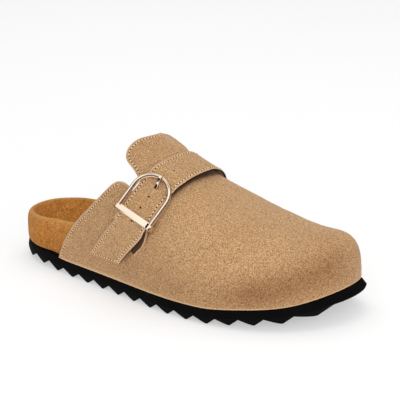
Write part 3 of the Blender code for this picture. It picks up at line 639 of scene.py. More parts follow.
def beads(name, points, outward, along, values, finish):
    mesh = bpy.data.meshes.new(name)
    mesh.from_pydata([tuple(map(float, p)) for p in points], [], [])
    for key, rows in (("outward", outward), ("along", along)):
        layer = mesh.attributes.new(key, "FLOAT_VECTOR", "POINT")
        layer.data.foreach_set("vector", np.asarray(rows, dtype=np.float32).ravel())
    obj = linked(name, mesh)
    change = obj.modifiers.new("beads", "NODES")
    change.node_group = beadTree
    names = {s.name: s.identifier for s in beadTree.interface.items_tree if s.in_out == "INPUT"}
    for key, value in {**values, "Finish": finish}.items():
        change[names[key]] = value
    finishPiece(bake(obj), None)


def spacedRow(points, normals, pitch, start):
    # places along a path at every pitch, with the outward normal and the path's direction there
    run = runLength(points)
    step = run[-1] / max(int(round(run[-1] / pitch)), 1)
    at = (np.arange(round(run[-1] / step)) + start) * step
    at = at[at <= run[-1]]

    def read(rows, where):
        return np.column_stack([np.interp(where, run, rows[:, i]) for i in range(3)])

    ahead, behind = (read(points, np.clip(at + d, 0, run[-1])) for d in (step / 4, -step / 4))
    return read(points, at), unit(read(normals, at)), unit(ahead - behind)


def sew(name, rows):
    # rows of stitches, each row a path and its normals, with a dark bead of painted shade for the needle
    # hole between stitches
    sizes = stitchSizes
    for part, start, finish, values in (
            ("Stitches", 0.5, creamThread, {"Bead Length": sizes["length"], "Bead Width": sizes["width"],
                                            "Bead Height": sizes["height"], "Lean": sizes["lean"],
                                            "Seed": sizes["seed"]}),
            ("Holes", 0.0, stitchHoleShade, {"Bead Length": sizes["hole"], "Bead Width": sizes["hole"],
                                        "Bead Height": sizes["holeDepth"], "Lean": 0.0, "Seed": 1})):
        sets = [spacedRow(points, normals, sizes["pitch"], start) for points, normals in rows]
        where, out, along = (np.vstack([s[i] for s in sets]) for i in range(3))
        beads(name + part, where + out * sizes["sink"], out, along, values, finish)


# the side: height of a ring in shares of the thickness, its inset in shares of the flare
soleShape = {"stations": 288, "levels": (-0.35, -0.1, 0.15, 0.32, 0.44, 0.5, 0.56, 0.7, 0.86),
             "side": np.array([(-0.35, 0.95), (0.0, 0.62), (0.15, 0.35), (sole["widest"], 0.0), (1.0, 1.0)]),
             "tipRound": 0.00022, "lipRound": 0.0007, "lipSteps": 4, "cutDepth": 0.016, "crease": 28}


def ringAt(inset, height, count):
    angle = np.arange(count) * 2 * pi / count
    share = shareAt(angle)
    return np.column_stack([outline(angle, inset(share)), height(share)])


def toothLine():
    # the sawtooth seen from the side, heel to toe; the tips follow the sole's spring
    start = -shoe["length"] / 2
    last = shoe["length"] - sole["lastRoom"]
    count = int((last - sole["firstTooth"]) / sole["pitch"]) + 1

    def corner(distance, lift, reach=None):
        height = float(underside((distance if reach is None else reach) / shoe["length"]))
        return start + distance, height + lift

    line = [corner(-0.01, sole["depth"], 0.0),
            corner(sole["firstTooth"] - (1 - sole["rise"]) * sole["pitch"], sole["depth"], 0.0)]
    for i in range(count):
        tip = sole["firstTooth"] + i * sole["pitch"]
        line += [corner(tip + side * sole["tipFlat"] / 2, 0.0, tip) for side in (-1, 1)]
        line.append(corner(tip + sole["rise"] * sole["pitch"], sole["depth"]))
    return line + [corner(shoe["length"] + 0.01, sole["depth"], shoe["length"])]


def softened(line, radius):
    # each corner of the line becomes three points
    rounded = [line[0]]
    for before, here, after in zip(line, line[1:], line[2:]):
        before, here, after = (np.array(p) for p in (before, here, after))
        back, on = unit(before - here), unit(after - here)
        room = min(radius, 0.4 * np.linalg.norm(before - here), 0.4 * np.linalg.norm(after - here))
        a, b = here + back * room, here + on * room
        rounded += [tuple(a), tuple((a + b + 2 * here) / 4), tuple(b)]
    return rounded + [line[-1]]


def makeOutsole():
    count, lip = soleShape["stations"], soleShape["lipRound"]
    rings = []
    for level in soleShape["levels"]:
        part = float(np.interp(level, soleShape["side"][:, 0], soleShape["side"][:, 1]))
        rings.append(ringAt(lambda s, p=part: soleFlare(s) * p,
                            lambda s, v=level: underside(s) + v * sole["thickness"], count))
    for turn in np.linspace(0, pi / 2, soleShape["lipSteps"]):
        rings.append(ringAt(lambda s, t=turn: soleFlare(s) * 0.98 + lip * (1 - cos(t)),
                            lambda s, t=turn: soleTop(s) - lip * (1 - sin(t)), count))
    faces = quads(len(rings), count) + ringCap(0, count) + ringCap((len(rings) - 1) * count, count)
    body = facesOut(meshObject("outsoleRubber", np.vstack(rings), faces, [blackRubber]))
    line = softened(toothLine(), soleShape["tipRound"])
    profile = line + [(line[-1][0], -soleShape["cutDepth"]), (line[0][0], -soleShape["cutDepth"])]
    corners = [(x, side * shoe["ballWidth"], z) for side in (-1, 1) for x, z in profile]
    boolean(body, [prism("teethCutter", corners, blackRubber)], crease=soleShape["crease"])
    finishPiece(body, "outsole")


makeOutsole()

# share of the length, rim height, cup depth
bedTable = np.array([
    (0.00, 0.850, 1.00), (0.12, 0.890, 1.00), (0.34, 1.000, 0.80), (0.50, 0.900, 0.50),
    (0.62, 0.730, 0.28), (0.75, 0.660, 0.22), (0.88, 0.700, 0.20), (1.00, 0.780, 0.18)])
# inset from the side, height share up to the rim, share of the cup's depth
bedRows = np.array([
    (0.0016, 0.00, 0.00), (0.0007, 0.03, 0.00), (0.0004, 0.10, 0.00), (0.0002, 0.30, 0.00),
    (0.0002, 0.50, 0.00), (0.0003, 0.68, 0.00), (0.0007, 0.82, 0.00), (0.0014, 0.92, 0.00),
    (0.0022, 0.975, 0.00), (0.0031, 1.00, 0.00), (0.0041, 0.998, 0.02), (0.0052, 1.00, 0.09),
    (0.0064, 1.00, 0.17), (0.0080, 1.00, 0.28), (0.0100, 1.00, 0.42), (0.0125, 1.00, 0.60),
    (0.0150, 1.00, 0.76), (0.0180, 1.00, 0.89), (0.0210, 1.00, 0.96)])
# bare is where the heel's side ends, rub is the pale line on the rim, the rest is painted shadow in the
# dark under the lateral quarter: where it starts and ends along the shoe and how far in it reaches
bedShape = {"stations": 256, "across": 26, "dish": 0.0012, "bare": (0.08, 0.155), "crease": 55,
            "rub": (0.0031, 0.0016), "rubTone": 0.55, "footTone": 0.5, "darkFrom": (0.27, 0.36),
            "darkTo": (0.62, 0.72), "darkIn": (0.0075, 0.0150), "widerFrom": (0.42, 0.47), "wider": 0.009}


def bedInset(share):
    inside = soleFlare(share) + upper["wall"] + bed["clearance"]
    bare = soleFlare(share) - bed["bulge"]
    return bare + (inside - bare) * ease(share, *bedShape["bare"])


def makeFootbed():
    count = bedShape["stations"]
    order = np.arange(count)
    share = shareAt(order * 2 * pi / count)
    lateral = ease(share, *bedShape["darkFrom"]) * (order < count / 2)
    wider = bedShape["wider"] * ease(share, *bedShape["widerFrom"])
    rings, pale, deep = [], [], []
    for inset, lift, dip in bedRows:
        def height(share, lift=lift, dip=dip):
            rim = levelCurve(bedTable[:, 0], bedTable[:, 1], share) * bed["rim"]
            cup = levelCurve(bedTable[:, 0], bedTable[:, 2], share) * bed["cup"]
            base = soleTop(share) + shoe["gap"]
            return base + (rim - base) * lift - cup * dip

        rings.append(ringAt(lambda s, inset=inset: bedInset(s) + inset, height, count))
        onTop = dip > 0
        # painted shadow: the lateral side dark from darkFrom on, and the top beside it dark until darkTo
        deep.append(lateral * (1 - ease(share, *bedShape["darkTo"]) * onTop)
                    * (1 - ease(inset - wider, *bedShape["darkIn"]) * onTop))
        rub = bedShape["rubTone"] * bell(inset, *bedShape["rub"]) * (lift > 0.8)
        pale.append(np.full(count, rub + bedShape["footTone"] * bell(lift, 0.0, 0.03)))
    points, faces = list(np.vstack(rings)), quads(len(rings), count)
    # the inside is filled by rows across the shoe, gently dished
    top, across = (len(rings) - 1) * count, bedShape["across"]
    u = np.arange(1, across) / across
    rows = []
    for k in range(1, count // 2):
        left, right = points[top + k], points[top + count - k]
        inside = left + (right - left) * u[:, None]
        inside[:, 2] -= bedShape["dish"] * 4 * u * (1 - u) * sin(pi * k / (count // 2))
        rows.append([top + k, *range(len(points), len(points) + across - 1), top + count - k])
        points += list(inside)
    for a, b in zip(rows, rows[1:]):
        faces += [(a[j], a[j + 1], b[j + 1], b[j]) for j in range(across)]
    faces += [(top, rows[0][j + 1], rows[0][j]) for j in range(across)]
    faces += [(top + count // 2, rows[-1][j], rows[-1][j + 1]) for j in range(across)]
    faces += ringCap(0, count)
    rest = np.zeros(len(points) - len(rings) * count)
    fields = {"pale": np.concatenate(pale + [rest]), "deep": np.concatenate(deep + [rest]),
              "shade": np.zeros(len(points))}
    body = meshObject("footbedSuede", points, faces, [bedSuede], None, bedShape["crease"], fields)
    finishPiece(facesOut(body), "footbed")


makeFootbed()

# the cut edge from the back of the quarter to the middle of the tongue: station, girth
throatTable = [
    (0.2780, 1.000), (0.2890, 0.940), (0.3180, 0.836), (0.3690, 0.717), (0.4140, 0.605),
    (0.4290, 0.562), (0.4470, 0.538), (0.4630, 0.546), (0.4800, 0.592), (0.4940, 0.650),
    (0.4965, 0.705), (0.4885, 0.762), (0.4800, 0.808), (0.4825, 0.826), (0.4905, 0.806),
    (0.5030, 0.738), (0.5120, 0.668), (0.5100, 0.600), (0.4940, 0.525), (0.4700, 0.462),
    (0.4520, 0.438), (0.4400, 0.424), (0.4345, 0.385), (0.4345, 0.330), (0.4400, 0.210),
    (0.4470, 0.090), (0.4490, 0.000)]
# soft folds: station, girth, reach in station, reach in girth, turn, depth (below zero is a ridge)
folds = [
    (0.615, -0.24, 0.016, 0.30, 0.09, 0.00050), (0.645, -0.30, 0.018, 0.26, 0.09, -0.00022),
    (0.815, -0.42, 0.020, 0.20, -0.08, 0.00040), (0.770, -0.36, 0.024, 0.24, -0.04, -0.00022),
    (0.700, 0.30, 0.020, 0.26, -0.05, 0.00045), (0.655, 0.42, 0.016, 0.22, -0.08, 0.00040),
    (0.560, -0.62, 0.012, 0.12, 0.06, 0.00035), (0.545, 0.60, 0.012, 0.14, -0.05, 0.00040),
    (0.385, -0.84, 0.030, 0.07, 0.02, 0.00030), (0.420, 0.80, 0.030, 0.09, 0.03, 0.00035)]
upperShape = {"edgePoints": 420, "stations": 230, "girths": 124, "firstStation": 0.27, "keepOff": 0.00105,
              "corner": 0.00045, "rimSteps": 3, "crease": 65, "waviness": 0.00012, "highest": 0.00025,
              "heldHem": (0.86, 0.97), "clearOfStrap": (0.030, 0.045), "tongueTip": 0.0030,
              "tongueFlare": 0.0046}
# painted shade: depth, girth of its line, reach in girth, stations between which it starts
upperTone = {"low": (0.42, -0.90, 0.13, 0.42, 0.55), "medial": (0.45, 0.78, 0.16, 0.62, 0.76),
             "toe": ((0.66, -0.86), (0.75, -0.80), (0.83, -0.735), (0.94, -0.715), (1.0, -0.70)),
             "toeDepth": 0.80, "toeReach": 0.15, "toeFrom": (0.62, 0.76), "toeFade": (0.90, 1.0, 0.6),
             "quarter": 0.22, "quarterTo": (0.46, 0.52), "lining": 0.15,
             "rubbed": 0.55, "rubbedReach": 0.0008, "liningRub": 0.3}
# the dark under the strap: from behind its back edge to just inside its front edge, in metres from
# its middle line, and the girths where it ends at the tail and at the sewn end
strapShadow = {"back": (-0.0105, -0.0085), "front": (0.0100, 0.0128), "tail": (-0.90, -0.80),
               "sewn": (0.15, 0.35)}


def smoothPath(rows, count):
    rows = np.array(rows, float)
    place = runLength(rows * upper["pattern"])
    at = np.linspace(0, place[-1], count)
    return np.column_stack([spline(place, rows[:, i], at) for i in range(2)])


def foldDepth(station, girth):
    # how far the leather stands off its smooth skin
    depth = np.zeros(np.broadcast(station, girth).shape)
    for where, at, reachStation, reachGirth, turn, deep in folds:
        drift = (girth - at) * turn
        depth -= deep * bell(station - drift, where, reachStation) * bell(girth, at, reachGirth)
    depth += upperShape["waviness"] * np.sin(station * 41 + girth * 5.0) * np.sin(girth * 13 + station * 9.0)
    # held down along the sole, and left alone under the strap and buckle
    depth *= 1 - ease(np.abs(girth), *upperShape["heldHem"])
    route = np.interp(-girth, -strapTable[:, 0], strapTable[:, 1])
    depth *= ease(np.abs(station - route), *upperShape["clearOfStrap"])
    # the tongue bends in at its tip and stands out at its inner corner
    tip = -upperShape["tongueTip"] * (1 - ease(station, 0.440, 0.484)) * bell(girth, 0.20, 0.13)
    flare = upperShape["tongueFlare"] * ease(girth, 0.32, 0.44) * (1 - ease(station, 0.462, 0.494))
    return tip + flare * (girth < 0.62) + np.minimum(depth, upperShape["highest"])


def patternEdge():
    lateral = smoothPath([(station, -girth) for station, girth in throatTable], upperShape["edgePoints"])
    medial = (lateral * (1, -1))[::-1][1:]
    step = 1 / upperShape["stations"]
    hem = np.arange(np.ceil(throatTable[0][0] / step + 0.5), upperShape["stations"]) * step
    toe = np.linspace(1, -1, 2 * (upperShape["girths"] // 2) + 1)
    return np.vstack([
        lateral, medial, np.column_stack([hem, np.ones(len(hem))]),
        np.column_stack([np.ones(len(toe)), toe]), np.column_stack([hem[::-1], -np.ones(len(hem))])])


def insidePoints(edge):
    # grid points within the pattern, clear of its edge
    stations = np.arange(1, upperShape["stations"]) / upperShape["stations"]
    girths = np.linspace(-1, 1, 2 * (upperShape["girths"] // 2) + 1)[1:-1]
    grid = np.array([(a, g) for a in stations[stations > upperShape["firstStation"]] for g in girths])
    scale = np.array(upper["pattern"])
    crossings = np.zeros(len(grid), int)
    nearest = np.full(len(grid), 9.0)
    for p, q in zip(edge, np.roll(edge, -1, axis=0)):
        spans = (p[1] > grid[:, 1]) != (q[1] > grid[:, 1])
        rise = q[1] - p[1] if q[1] != p[1] else 1.0
        at = p[0] + (grid[:, 1] - p[1]) / rise * (q[0] - p[0])
        crossings += spans & (grid[:, 0] < at)
        run = (q - p) * scale
        offset = (grid - p) * scale
        along = np.clip(offset @ run / max(run @ run, 1e-12), 0, 1)
        nearest = np.minimum(nearest, np.linalg.norm(offset - along[:, None] * run, axis=1))
    return grid[(crossings % 2 == 1) & (nearest > upperShape["keepOff"])]


def flatUpper():
    # the pattern in station and girth, its triangles, and the points of the closed toe line
    edge = patternEdge()
    scale = np.array(upper["pattern"])
    flat = np.vstack([edge, insidePoints(edge)])
    flatPoints, _, triangles, *_ = delaunay_2d_cdt(
        [Vector(p * scale) for p in flat], [], [list(range(len(edge)))], 1, 1e-7)
    flat = np.array([tuple(p) for p in flatPoints]) / scale
    toe = np.where(flat[:, 0] > 1 - 1e-6)[0]
    twin = {round(float(flat[i, 1]), 5): i for i in toe if flat[i, 1] <= 0}
    home = np.arange(len(flat))
    for i in toe:
        if flat[i, 1] > 0:
            home[i] = twin[round(-float(flat[i, 1]), 5)]
    triangles = np.array([home[list(t)] for t in triangles])
    print("upper pattern", len(flat), "points")
    return flat, triangles[[len(set(t)) == 3 for t in triangles.tolist()]], toe


def edgeChain(triangles):
    # the points of the cut edge and the hem, one after the other
    pairs = dict.fromkeys(pair for a, b, c in triangles.tolist() for pair in ((a, b), (b, c), (c, a)))
    following = {i: j for i, j in pairs if (j, i) not in pairs}
    chain = [next(iter(following))]
    while following[chain[-1]] != chain[0]:
        chain.append(following[chain[-1]])
    return np.array(chain)


def upperFields(station, girth, distance, rimCount):
    # the material's attributes: outer face, lining and rim
    tone = upperTone

    def shadeBand(depth, at, reach, start, end):
        return depth * (girth * at > 0) * bell(girth, at, reach) * ease(station, start, end)

    # painted shade on the outer face: bands where the lateral toe, the low lateral side and the medial side
    # turn from the light; the lateral quarter and the lining take an even darkening
    toe = np.interp(station, *np.array(tone["toe"]).T)
    fadeStart, fadeEnd, fade = tone["toeFade"]
    shade = (shadeBand(tone["toeDepth"], toe, tone["toeReach"], *tone["toeFrom"])
             * (1 - fade * ease(station, fadeStart, fadeEnd))
             + shadeBand(*tone["low"]) + shadeBand(*tone["medial"])
             + tone["quarter"] * (girth < 0) * (1 - ease(station, *tone["quarterTo"])))
    rubbed = np.where(np.abs(girth) > 0.999, 1.0, tone["rubbed"] * np.exp(-distance / tone["rubbedReach"]))
    route = strapMiddle(girth)[0]
    beside = (station - route) * np.linalg.norm(skinRates(station, girth)[0], axis=1)
    deep = (ease(beside, *strapShadow["back"]) * (1 - ease(beside, *strapShadow["front"]))
            * ease(girth, *strapShadow["tail"]) * (1 - ease(girth, *strapShadow["sewn"])))
    count, rim = len(station), np.zeros(rimCount)
    return {"deep": np.concatenate([deep, np.zeros(count), rim]),
            "pale": np.concatenate([rubbed, rubbed * tone["liningRub"], rim + 1]),
            "shade": np.concatenate([np.clip(shade, 0, 1), np.full(count, tone["lining"]), rim])}


def makeUpper():
    flat, triangles, toe = flatUpper()
    station, girth = flat.T
    normal = skinNormal(station, girth)
    normal[toe] += skinNormal(station[toe], -girth[toe])
    normal = unit(normal)
    outer = skin(station, girth) + normal * foldDepth(station, girth)[:, None]
    chain = edgeChain(triangles)
    one, two, three = outer[triangles[0]]
    flipped = np.cross(two - one, three - one) @ normal[triangles[0, 0]] < 0
    edge, edgeNormal = outer[chain], normal[chain]
    along = np.roll(edge, -1, axis=0) - np.roll(edge, 1, axis=0)
    out = unit(np.cross(along, edgeNormal) * (-1 if flipped else 1))
    # the wall, with a rounded rim round its edge
    corner, wall, count = upperShape["corner"], upper["wall"], len(flat)
    inner = outer - normal * wall
    outer[chain] = edge - out * corner
    inner[chain] = edge - out * corner - edgeNormal * wall
    turns = np.linspace(0, pi / 2, upperShape["rimSteps"] + 1)
    drops = [(t, corner * (1 - cos(t))) for t in turns[1:]]
    drops += [(t, wall - corner * (1 - cos(t))) for t in turns[:0:-1]]
    loops = [edge - out * corner * (1 - sin(t)) - edgeNormal * drop for t, drop in drops]
    faces = [tuple(t) for t in triangles] + [tuple(t[::-1] + count) for t in triangles]
    slots = [0] * len(triangles) + [1] * len(triangles)
    size = len(chain)
    rails = [chain] + [2 * count + k * size + np.arange(size) for k in range(len(loops))] + [chain + count]
    for upside, below in zip(rails, rails[1:]):
        for k in range(size):
            n = (k + 1) % size
            faces.append((upside[n], upside[k], below[k], below[n]))
            slots.append(2)
    # how far each point lies from the cut edge, for the rubbed nap beside it
    scale = np.array(upper["pattern"])
    distance = np.full(count, 1.0)
    for p in (flat[chain] * scale)[::2]:
        distance = np.minimum(distance, np.linalg.norm(flat * scale - p, axis=1))
    body = meshObject("upperSuede", np.vstack([outer, inner] + loops), faces,
                      [upperSuede, liningSuede, rawEdge], slots, upperShape["crease"],
                      upperFields(station, girth, distance, len(loops) * size))
    finishPiece(facesOut(body), "upper")


makeUpper()

# rows of stitches inside the throat's edge, in shares of the way to the tongue's middle
throatRows = {"inset": 0.0023, "quarter": (0.0, 0.345), "tongue": (0.735, 1.265), "endRoom": 0.008,
              "points": 500}


def throatStitches():
    whole = smoothPath([(s, -g) for s, g in throatTable], throatRows["points"])
    station, girth = np.vstack([whole, (whole * (1, -1))[::-1][1:]]).T
    along = np.gradient(skin(station, girth), axis=0)
    side = unit(np.cross(along, skinNormal(station, girth)))
    station, girth = stepped(station, girth, skinRates(station, girth), side * throatRows["inset"])
    normal = skinNormal(station, girth)
    points = skin(station, girth) + normal * foldDepth(station, girth)[:, None]
    run = np.linspace(0, 2, len(points))
    low, high = throatRows["quarter"]
    rows = []
    for start, end in ((low, high), throatRows["tongue"], (2 - high, 2 - low)):
        keep = (run >= start + throatRows["endRoom"]) & (run <= end - throatRows["endRoom"])
        rows.append((points[keep], normal[keep]))
    sew("throat", rows)


throatStitches()

# pins are distances from the prong's hole; the slot is slanted, as (Y, Z) in the buckle's axes
strapShape = {"rows": 240, "corner": 0.0005, "across": 18, "rounds": 3, "crease": 60,
              "rubbed": 0.5, "rubbedReach": 0.0008, "shade": 0.06,
              "stitchInset": 0.0021, "endInset": 0.0024, "sewnRow": 0.010,
              "pinHole": 0.0007, "pinDepth": 0.0013, "pinSides": 20,
              "pins": (-0.0147, 0.0074, 0.0158, 0.0248), "slotPlay": 0.0003,
              "slot": ((0.0186, -0.0054), (0.0212, -0.0054), (0.0288, 0.0), (0.0262, 0.0))}


def pinSolid(name, top, normal):
    normal = Vector(normal).normalized()
    one = normal.orthogonal().normalized()
    two = normal.cross(one)
    sides, radius = strapShape["pinSides"], strapShape["pinHole"]
    turns = [2 * pi * k / sides for k in range(sides)]
    points = [Vector(top) + normal * lift + one * radius * cos(turn) + two * radius * sin(turn)
              for lift in (strapShape["pinDepth"], -strapShape["pinDepth"]) for turn in turns]
    return prism(name, points, slotShadow)


def makeStrap():
    lengths = np.linspace(0, strapLength, strapShape["rows"])

    def place(length, side, height):
        return onStrap(length, side, height)[0]

    def rub(grid):
        gap = strap["width"] / 2 - np.abs(grid[..., 1])
        return (strapShape["rubbed"] * np.exp(-gap / strapShape["rubbedReach"])).ravel()

    # the third material paints the strap's lower front edge dark: painted shadow for the gap under it
    band = ribbon("strapSuede", place, lengths, strap["width"], strap["thickness"], strapShape["corner"],
                  [upperSuede, rawEdge, slotShadow], strapShape["across"], strapShape["rounds"],
                  {"pale": rub, "shade": lambda grid: np.full(grid[..., 0].size, strapShape["shade"])})
    # the prong's slot through the strap, its cut faces painted shadow dark
    half = buckle["prongWidth"] / 2 + strapShape["slotPlay"]
    corners = [(x, y, z) for x in (-half, half) for y, z in strapShape["slot"]]
    tools = [prism("prongCut", inBuckle(corners), slotShadow)]
    # blind pin holes along the middle line, their cut faces painted shadow dark
    hole = inBuckle([(0, sum(buckle["prongSlot"]) / 2, -0.002)])[0]
    line = place(lengths, np.zeros(len(lengths)), np.zeros(len(lengths)))
    home = lengths[np.linalg.norm(line - hole, axis=1).argmin()]
    for k, distance in enumerate(strapShape["pins"]):
        top, normal = onStrap(np.array([home + distance]), np.zeros(1), np.array([strap["thickness"]]))
        tools.append(pinSolid(f"pin{k}", top[0], normal[0]))
    boolean(band, tools, crease=strapShape["crease"])
    finishPiece(band, "strap")
    # stitches along both edges, across both ends and across the sewn end
    inset = strap["width"] / 2 - strapShape["stitchInset"]
    first, last = strapShape["endInset"], strapLength - strapShape["endInset"]
    high = np.float64(strap["thickness"])
    at, side = np.linspace(first, last, 260), np.linspace(-inset, inset, 60)[2:-2]
    rows = [onStrap(at, np.full(len(at), edge), np.full(len(at), high)) for edge in (-inset, inset)]
    rows += [onStrap(np.full(len(side), end), side, np.full(len(side), high))
             for end in (first, last, strapShape["sewnRow"])]
    sew("strap", rows)


makeStrap()

buckleShape = {"wireSides": 24, "archSteps": 48, "legSteps": 12, "bevel": 0.00035, "bevelSteps": 3,
               "crease": 38, "slot": (0.0015, 0.0036, 0.0012), "slotPlace": 0.0016, "wireGrowth": 0.0002}


def boxSolid(name, centre, size, finish, bevel=0.0):
    loop = ((-0.5, -0.5), (-0.5, 0.5), (0.5, 0.5), (0.5, -0.5))
    corners = [(x, y, z) for x in (-0.5, 0.5) for y, z in loop]
    obj = prism(name, inBuckle(np.array(corners) * size + centre), finish)
    if bevel:
        change = obj.modifiers.new("bevel", "BEVEL")
        change.width = bevel
        change.segments = buckleShape["bevelSteps"]
        bake(obj)
    return obj


def tubeSolid(name, path, radius, sideAxis, finish):
    path, sides = np.array(path, float), buckleShape["wireSides"]
    sideAxis = np.array(sideAxis, float)
    points = []
    for i, p in enumerate(path):
        along = unit(path[min(i + 1, len(path) - 1)] - path[max(i - 1, 0)])
        third = unit(np.cross(along, sideAxis))
        for k in range(sides):
            turn = 2 * pi * (k + 0.5) / sides
            points.append(p + sideAxis * radius * cos(turn) + third * radius * sin(turn))
    faces = [tuple(range(sides)), tuple(len(points) - sides + k for k in range(sides))]
    faces += quads(len(path), sides)
    return facesOut(meshObject(name, inBuckle(points), faces, [finish]))


def makeBuckleFrame():
    span = strap["width"] / 2 + buckle["sidePlay"] + buckle["wire"] / 2
    leg = buckle["reach"] - buckle["wire"] / 2 - span
    root = buckle["barWidth"] / 2 - buckle["wireRoot"]
    steps, bevel = buckleShape["archSteps"], buckleShape["bevel"]
    straight = [root + (leg - root) * k / buckleShape["legSteps"] for k in range(buckleShape["legSteps"])]
    path = [(-span, y, 0) for y in straight]
    path += [(-span * cos(pi * k / steps), leg + span * sin(pi * k / steps), 0) for k in range(steps + 1)]
    path += [(span, y, 0) for y in straight[::-1]]
    arch = tubeSolid("archWire", path, buckle["wire"] / 2 + buckleShape["wireGrowth"], (0, 0, 1), roseGold)
    hinge = tubeSolid("hingeBar", [(-span, 0, -buckle["drop"]), (span, 0, -buckle["drop"])],
                      buckle["hinge"] / 2, (0, 1, 0), roseGold)
    bar = boxSolid("buckleFrameMetal", (0, 0, 0),
                   (2 * span + buckle["wire"] + 2 * buckle["inset"], buckle["barWidth"],
                    buckle["barThickness"]), roseGold, bevel)
    depth = buckle["drop"] + buckle["hinge"] / 2 + buckle["blockRim"]
    blocks = [boxSolid(f"endBlock{side}", (side * (span - buckle["inset"]), 0, -depth / 2),
                       (buckle["wire"], buckle["barWidth"] - 2 * buckle["inset"], depth), roseGold,
                       bevel) for side in (-1, 1)]
    boolean(bar, blocks + [arch, hinge], "UNION")
    # the prong's slot in the bar, its cut faces painted shadow dark
    slot = boxSolid("barSlot", (span - buckleShape["slotPlace"], 0, buckle["barThickness"] / 2),
                    buckleShape["slot"], slotShadow)
    boolean(bar, [slot], crease=buckleShape["crease"])
    finishPiece(bar, "buckle_frame")


def softLine(rows, count):
    # a smoothed side line: evenly spaced lengths, and a reader of its place at a length, moved
    # square to the line by the height
    rows = np.array(rows, float)
    place = runLength(rows)
    at = np.linspace(0, place[-1], count)
    fine = np.column_stack([np.interp(at, place, rows[:, i]) for i in range(2)])
    for _ in range(6):
        fine[1:-1] = (fine[:-2] + 2 * fine[1:-1] + fine[2:]) / 4
    slope = unit(np.gradient(fine, axis=0))

    def read(length, height):
        forth, up = (np.interp(length, at, fine[:, i]) for i in range(2))
        slopeForth, slopeUp = (np.interp(length, at, slope[:, i]) for i in range(2))
        return forth - slopeUp * height, up + slopeForth * height

    return at, read


prongShape = {"points": 170, "corner": 0.0004, "across": 6, "rollFrom": 395, "rollTo": 90, "rollSteps": 30}


def makeProng():
    thickness, drop = buckle["prongThickness"], buckle["drop"]
    roll = buckle["hinge"] / 2 + buckle["hingePlay"] + thickness / 2
    low = -drop + roll
    rest = buckle["wire"] / 2 + shoe["gap"] + thickness / 2
    top = buckle["reach"] - buckle["wire"] / 2
    near, far = buckle["prongSlot"]
    turns = np.linspace(radians(prongShape["rollFrom"]), radians(prongShape["rollTo"]),
                        prongShape["rollSteps"])
    # round the hinge, flat under the strap, up through its slot and over the arch
    line = [(roll * cos(a), -drop + roll * sin(a)) for a in turns]
    line += [(0.2 * near, low - 0.0002), (strap["dip"][0], low - 0.0003), (near + 0.0005, low - 0.0006),
             (near + 0.0026, low + 0.0014), (far - 0.0006, -0.0003), (top - 0.0026, rest - 0.0003),
             (top - 0.0006, rest + 0.0001), (top + 0.0014, rest - 0.0001)]
    at, read = softLine(line, prongShape["points"])

    def place(length, side, height):
        return inBuckle(np.stack([side, *read(length, height - thickness / 2)], -1))

    prong = ribbon("buckleProngMetal", place, at, buckle["prongWidth"], thickness, prongShape["corner"],
                   [roseGold, roseGold], prongShape["across"])
    finishPiece(prong, "buckle_prong")


# deep and shade paint the whole tab dark: painted shadow, as it lies in shade under the strap's tail
# growth widens the tab on its toe side, at the hinge and on the quarter
tab = {"leather": 0.0009, "width": 0.0180, "length": 0.0200, "hingeGrowth": 0.36, "toeSideGrowth": 0.72,
       "growthRun": (0.002, 0.010), "settleRun": (0.0022, 0.0095), "mouth": 0.0030, "corner": 0.0002,
       "across": 12, "rounds": 2, "points": 120, "deep": 1.0, "shade": 0.5,
       "slot": (0.001, 0.0075, 2.2)}


def makeAnchor():
    leather, reach, mouth = tab["leather"], tab["length"], tab["mouth"]
    loop = buckle["hinge"] / 2 + buckle["hingePlay"] + leather / 2
    hinge = inBuckle([(0, 0, -buckle["drop"])])[0]
    gaps = np.linalg.norm(skin(*strapPlace(runLengths, 0)) - hinge, axis=1)
    hingeLength, hingeHeight = runLengths[gaps.argmin()], gaps.min()
    inner = shoe["gap"] + leather / 2
    outer = inner + leather + shoe["gap"]
    # up the quarter, round the hinge bar and back down over itself
    line = [(share * reach, inner) for share in (1, 0.7, 0.45)] + [(mouth, hingeHeight - 0.85 * loop)]
    line += [(-loop * sin(a), hingeHeight - loop * cos(a)) for a in np.linspace(0, pi, 25)]
    line += [(mouth, hingeHeight + 0.55 * loop), (0.3 * reach, outer + leather)]
    line += [(share * reach, outer) for share in (0.47, 0.7, 0.95)]
    at, read = softLine(line, tab["points"])

    def place(length, side, height):
        settled = ease(read(length, 0)[0], *tab["settleRun"])[..., None]
        down, lift = read(length, height - leather / 2)
        widening = ease(down, *tab["growthRun"])
        growth = tab["hingeGrowth"] + (tab["toeSideGrowth"] - tab["hingeGrowth"]) * widening
        side = side + np.maximum(side, 0) * growth
        onQuarter = strapPlace(hingeLength + down, side)
        onSkin = skin(*onQuarter) + skinNormal(*onQuarter) * lift[..., None]
        atBar = inBuckle(np.stack([side, -down, lift - hingeHeight - buckle["drop"]], -1))
        return atBar + (onSkin - atBar) * settled

    # the tab is coloured with painted shadow all over
    piece = ribbon("buckleTabSuede", place, at, tab["width"], leather, tab["corner"],
                   [upperSuede, rawEdge], tab["across"], tab["rounds"],
                   {key: lambda grid, key=key: np.full(grid[..., 0].size, tab[key])
                    for key in ("deep", "shade")})
    forth, long, high = tab["slot"]
    cut = boxSolid("tabCut", (0, forth, -buckle["drop"]),
                   (buckle["prongWidth"] + 2 * buckle["slotPlay"], long, high * buckle["drop"]), rawEdge)
    finishPiece(boolean(piece, [cut]), "buckle_anchor")


makeBuckleFrame()
makeProng()
makeAnchor()

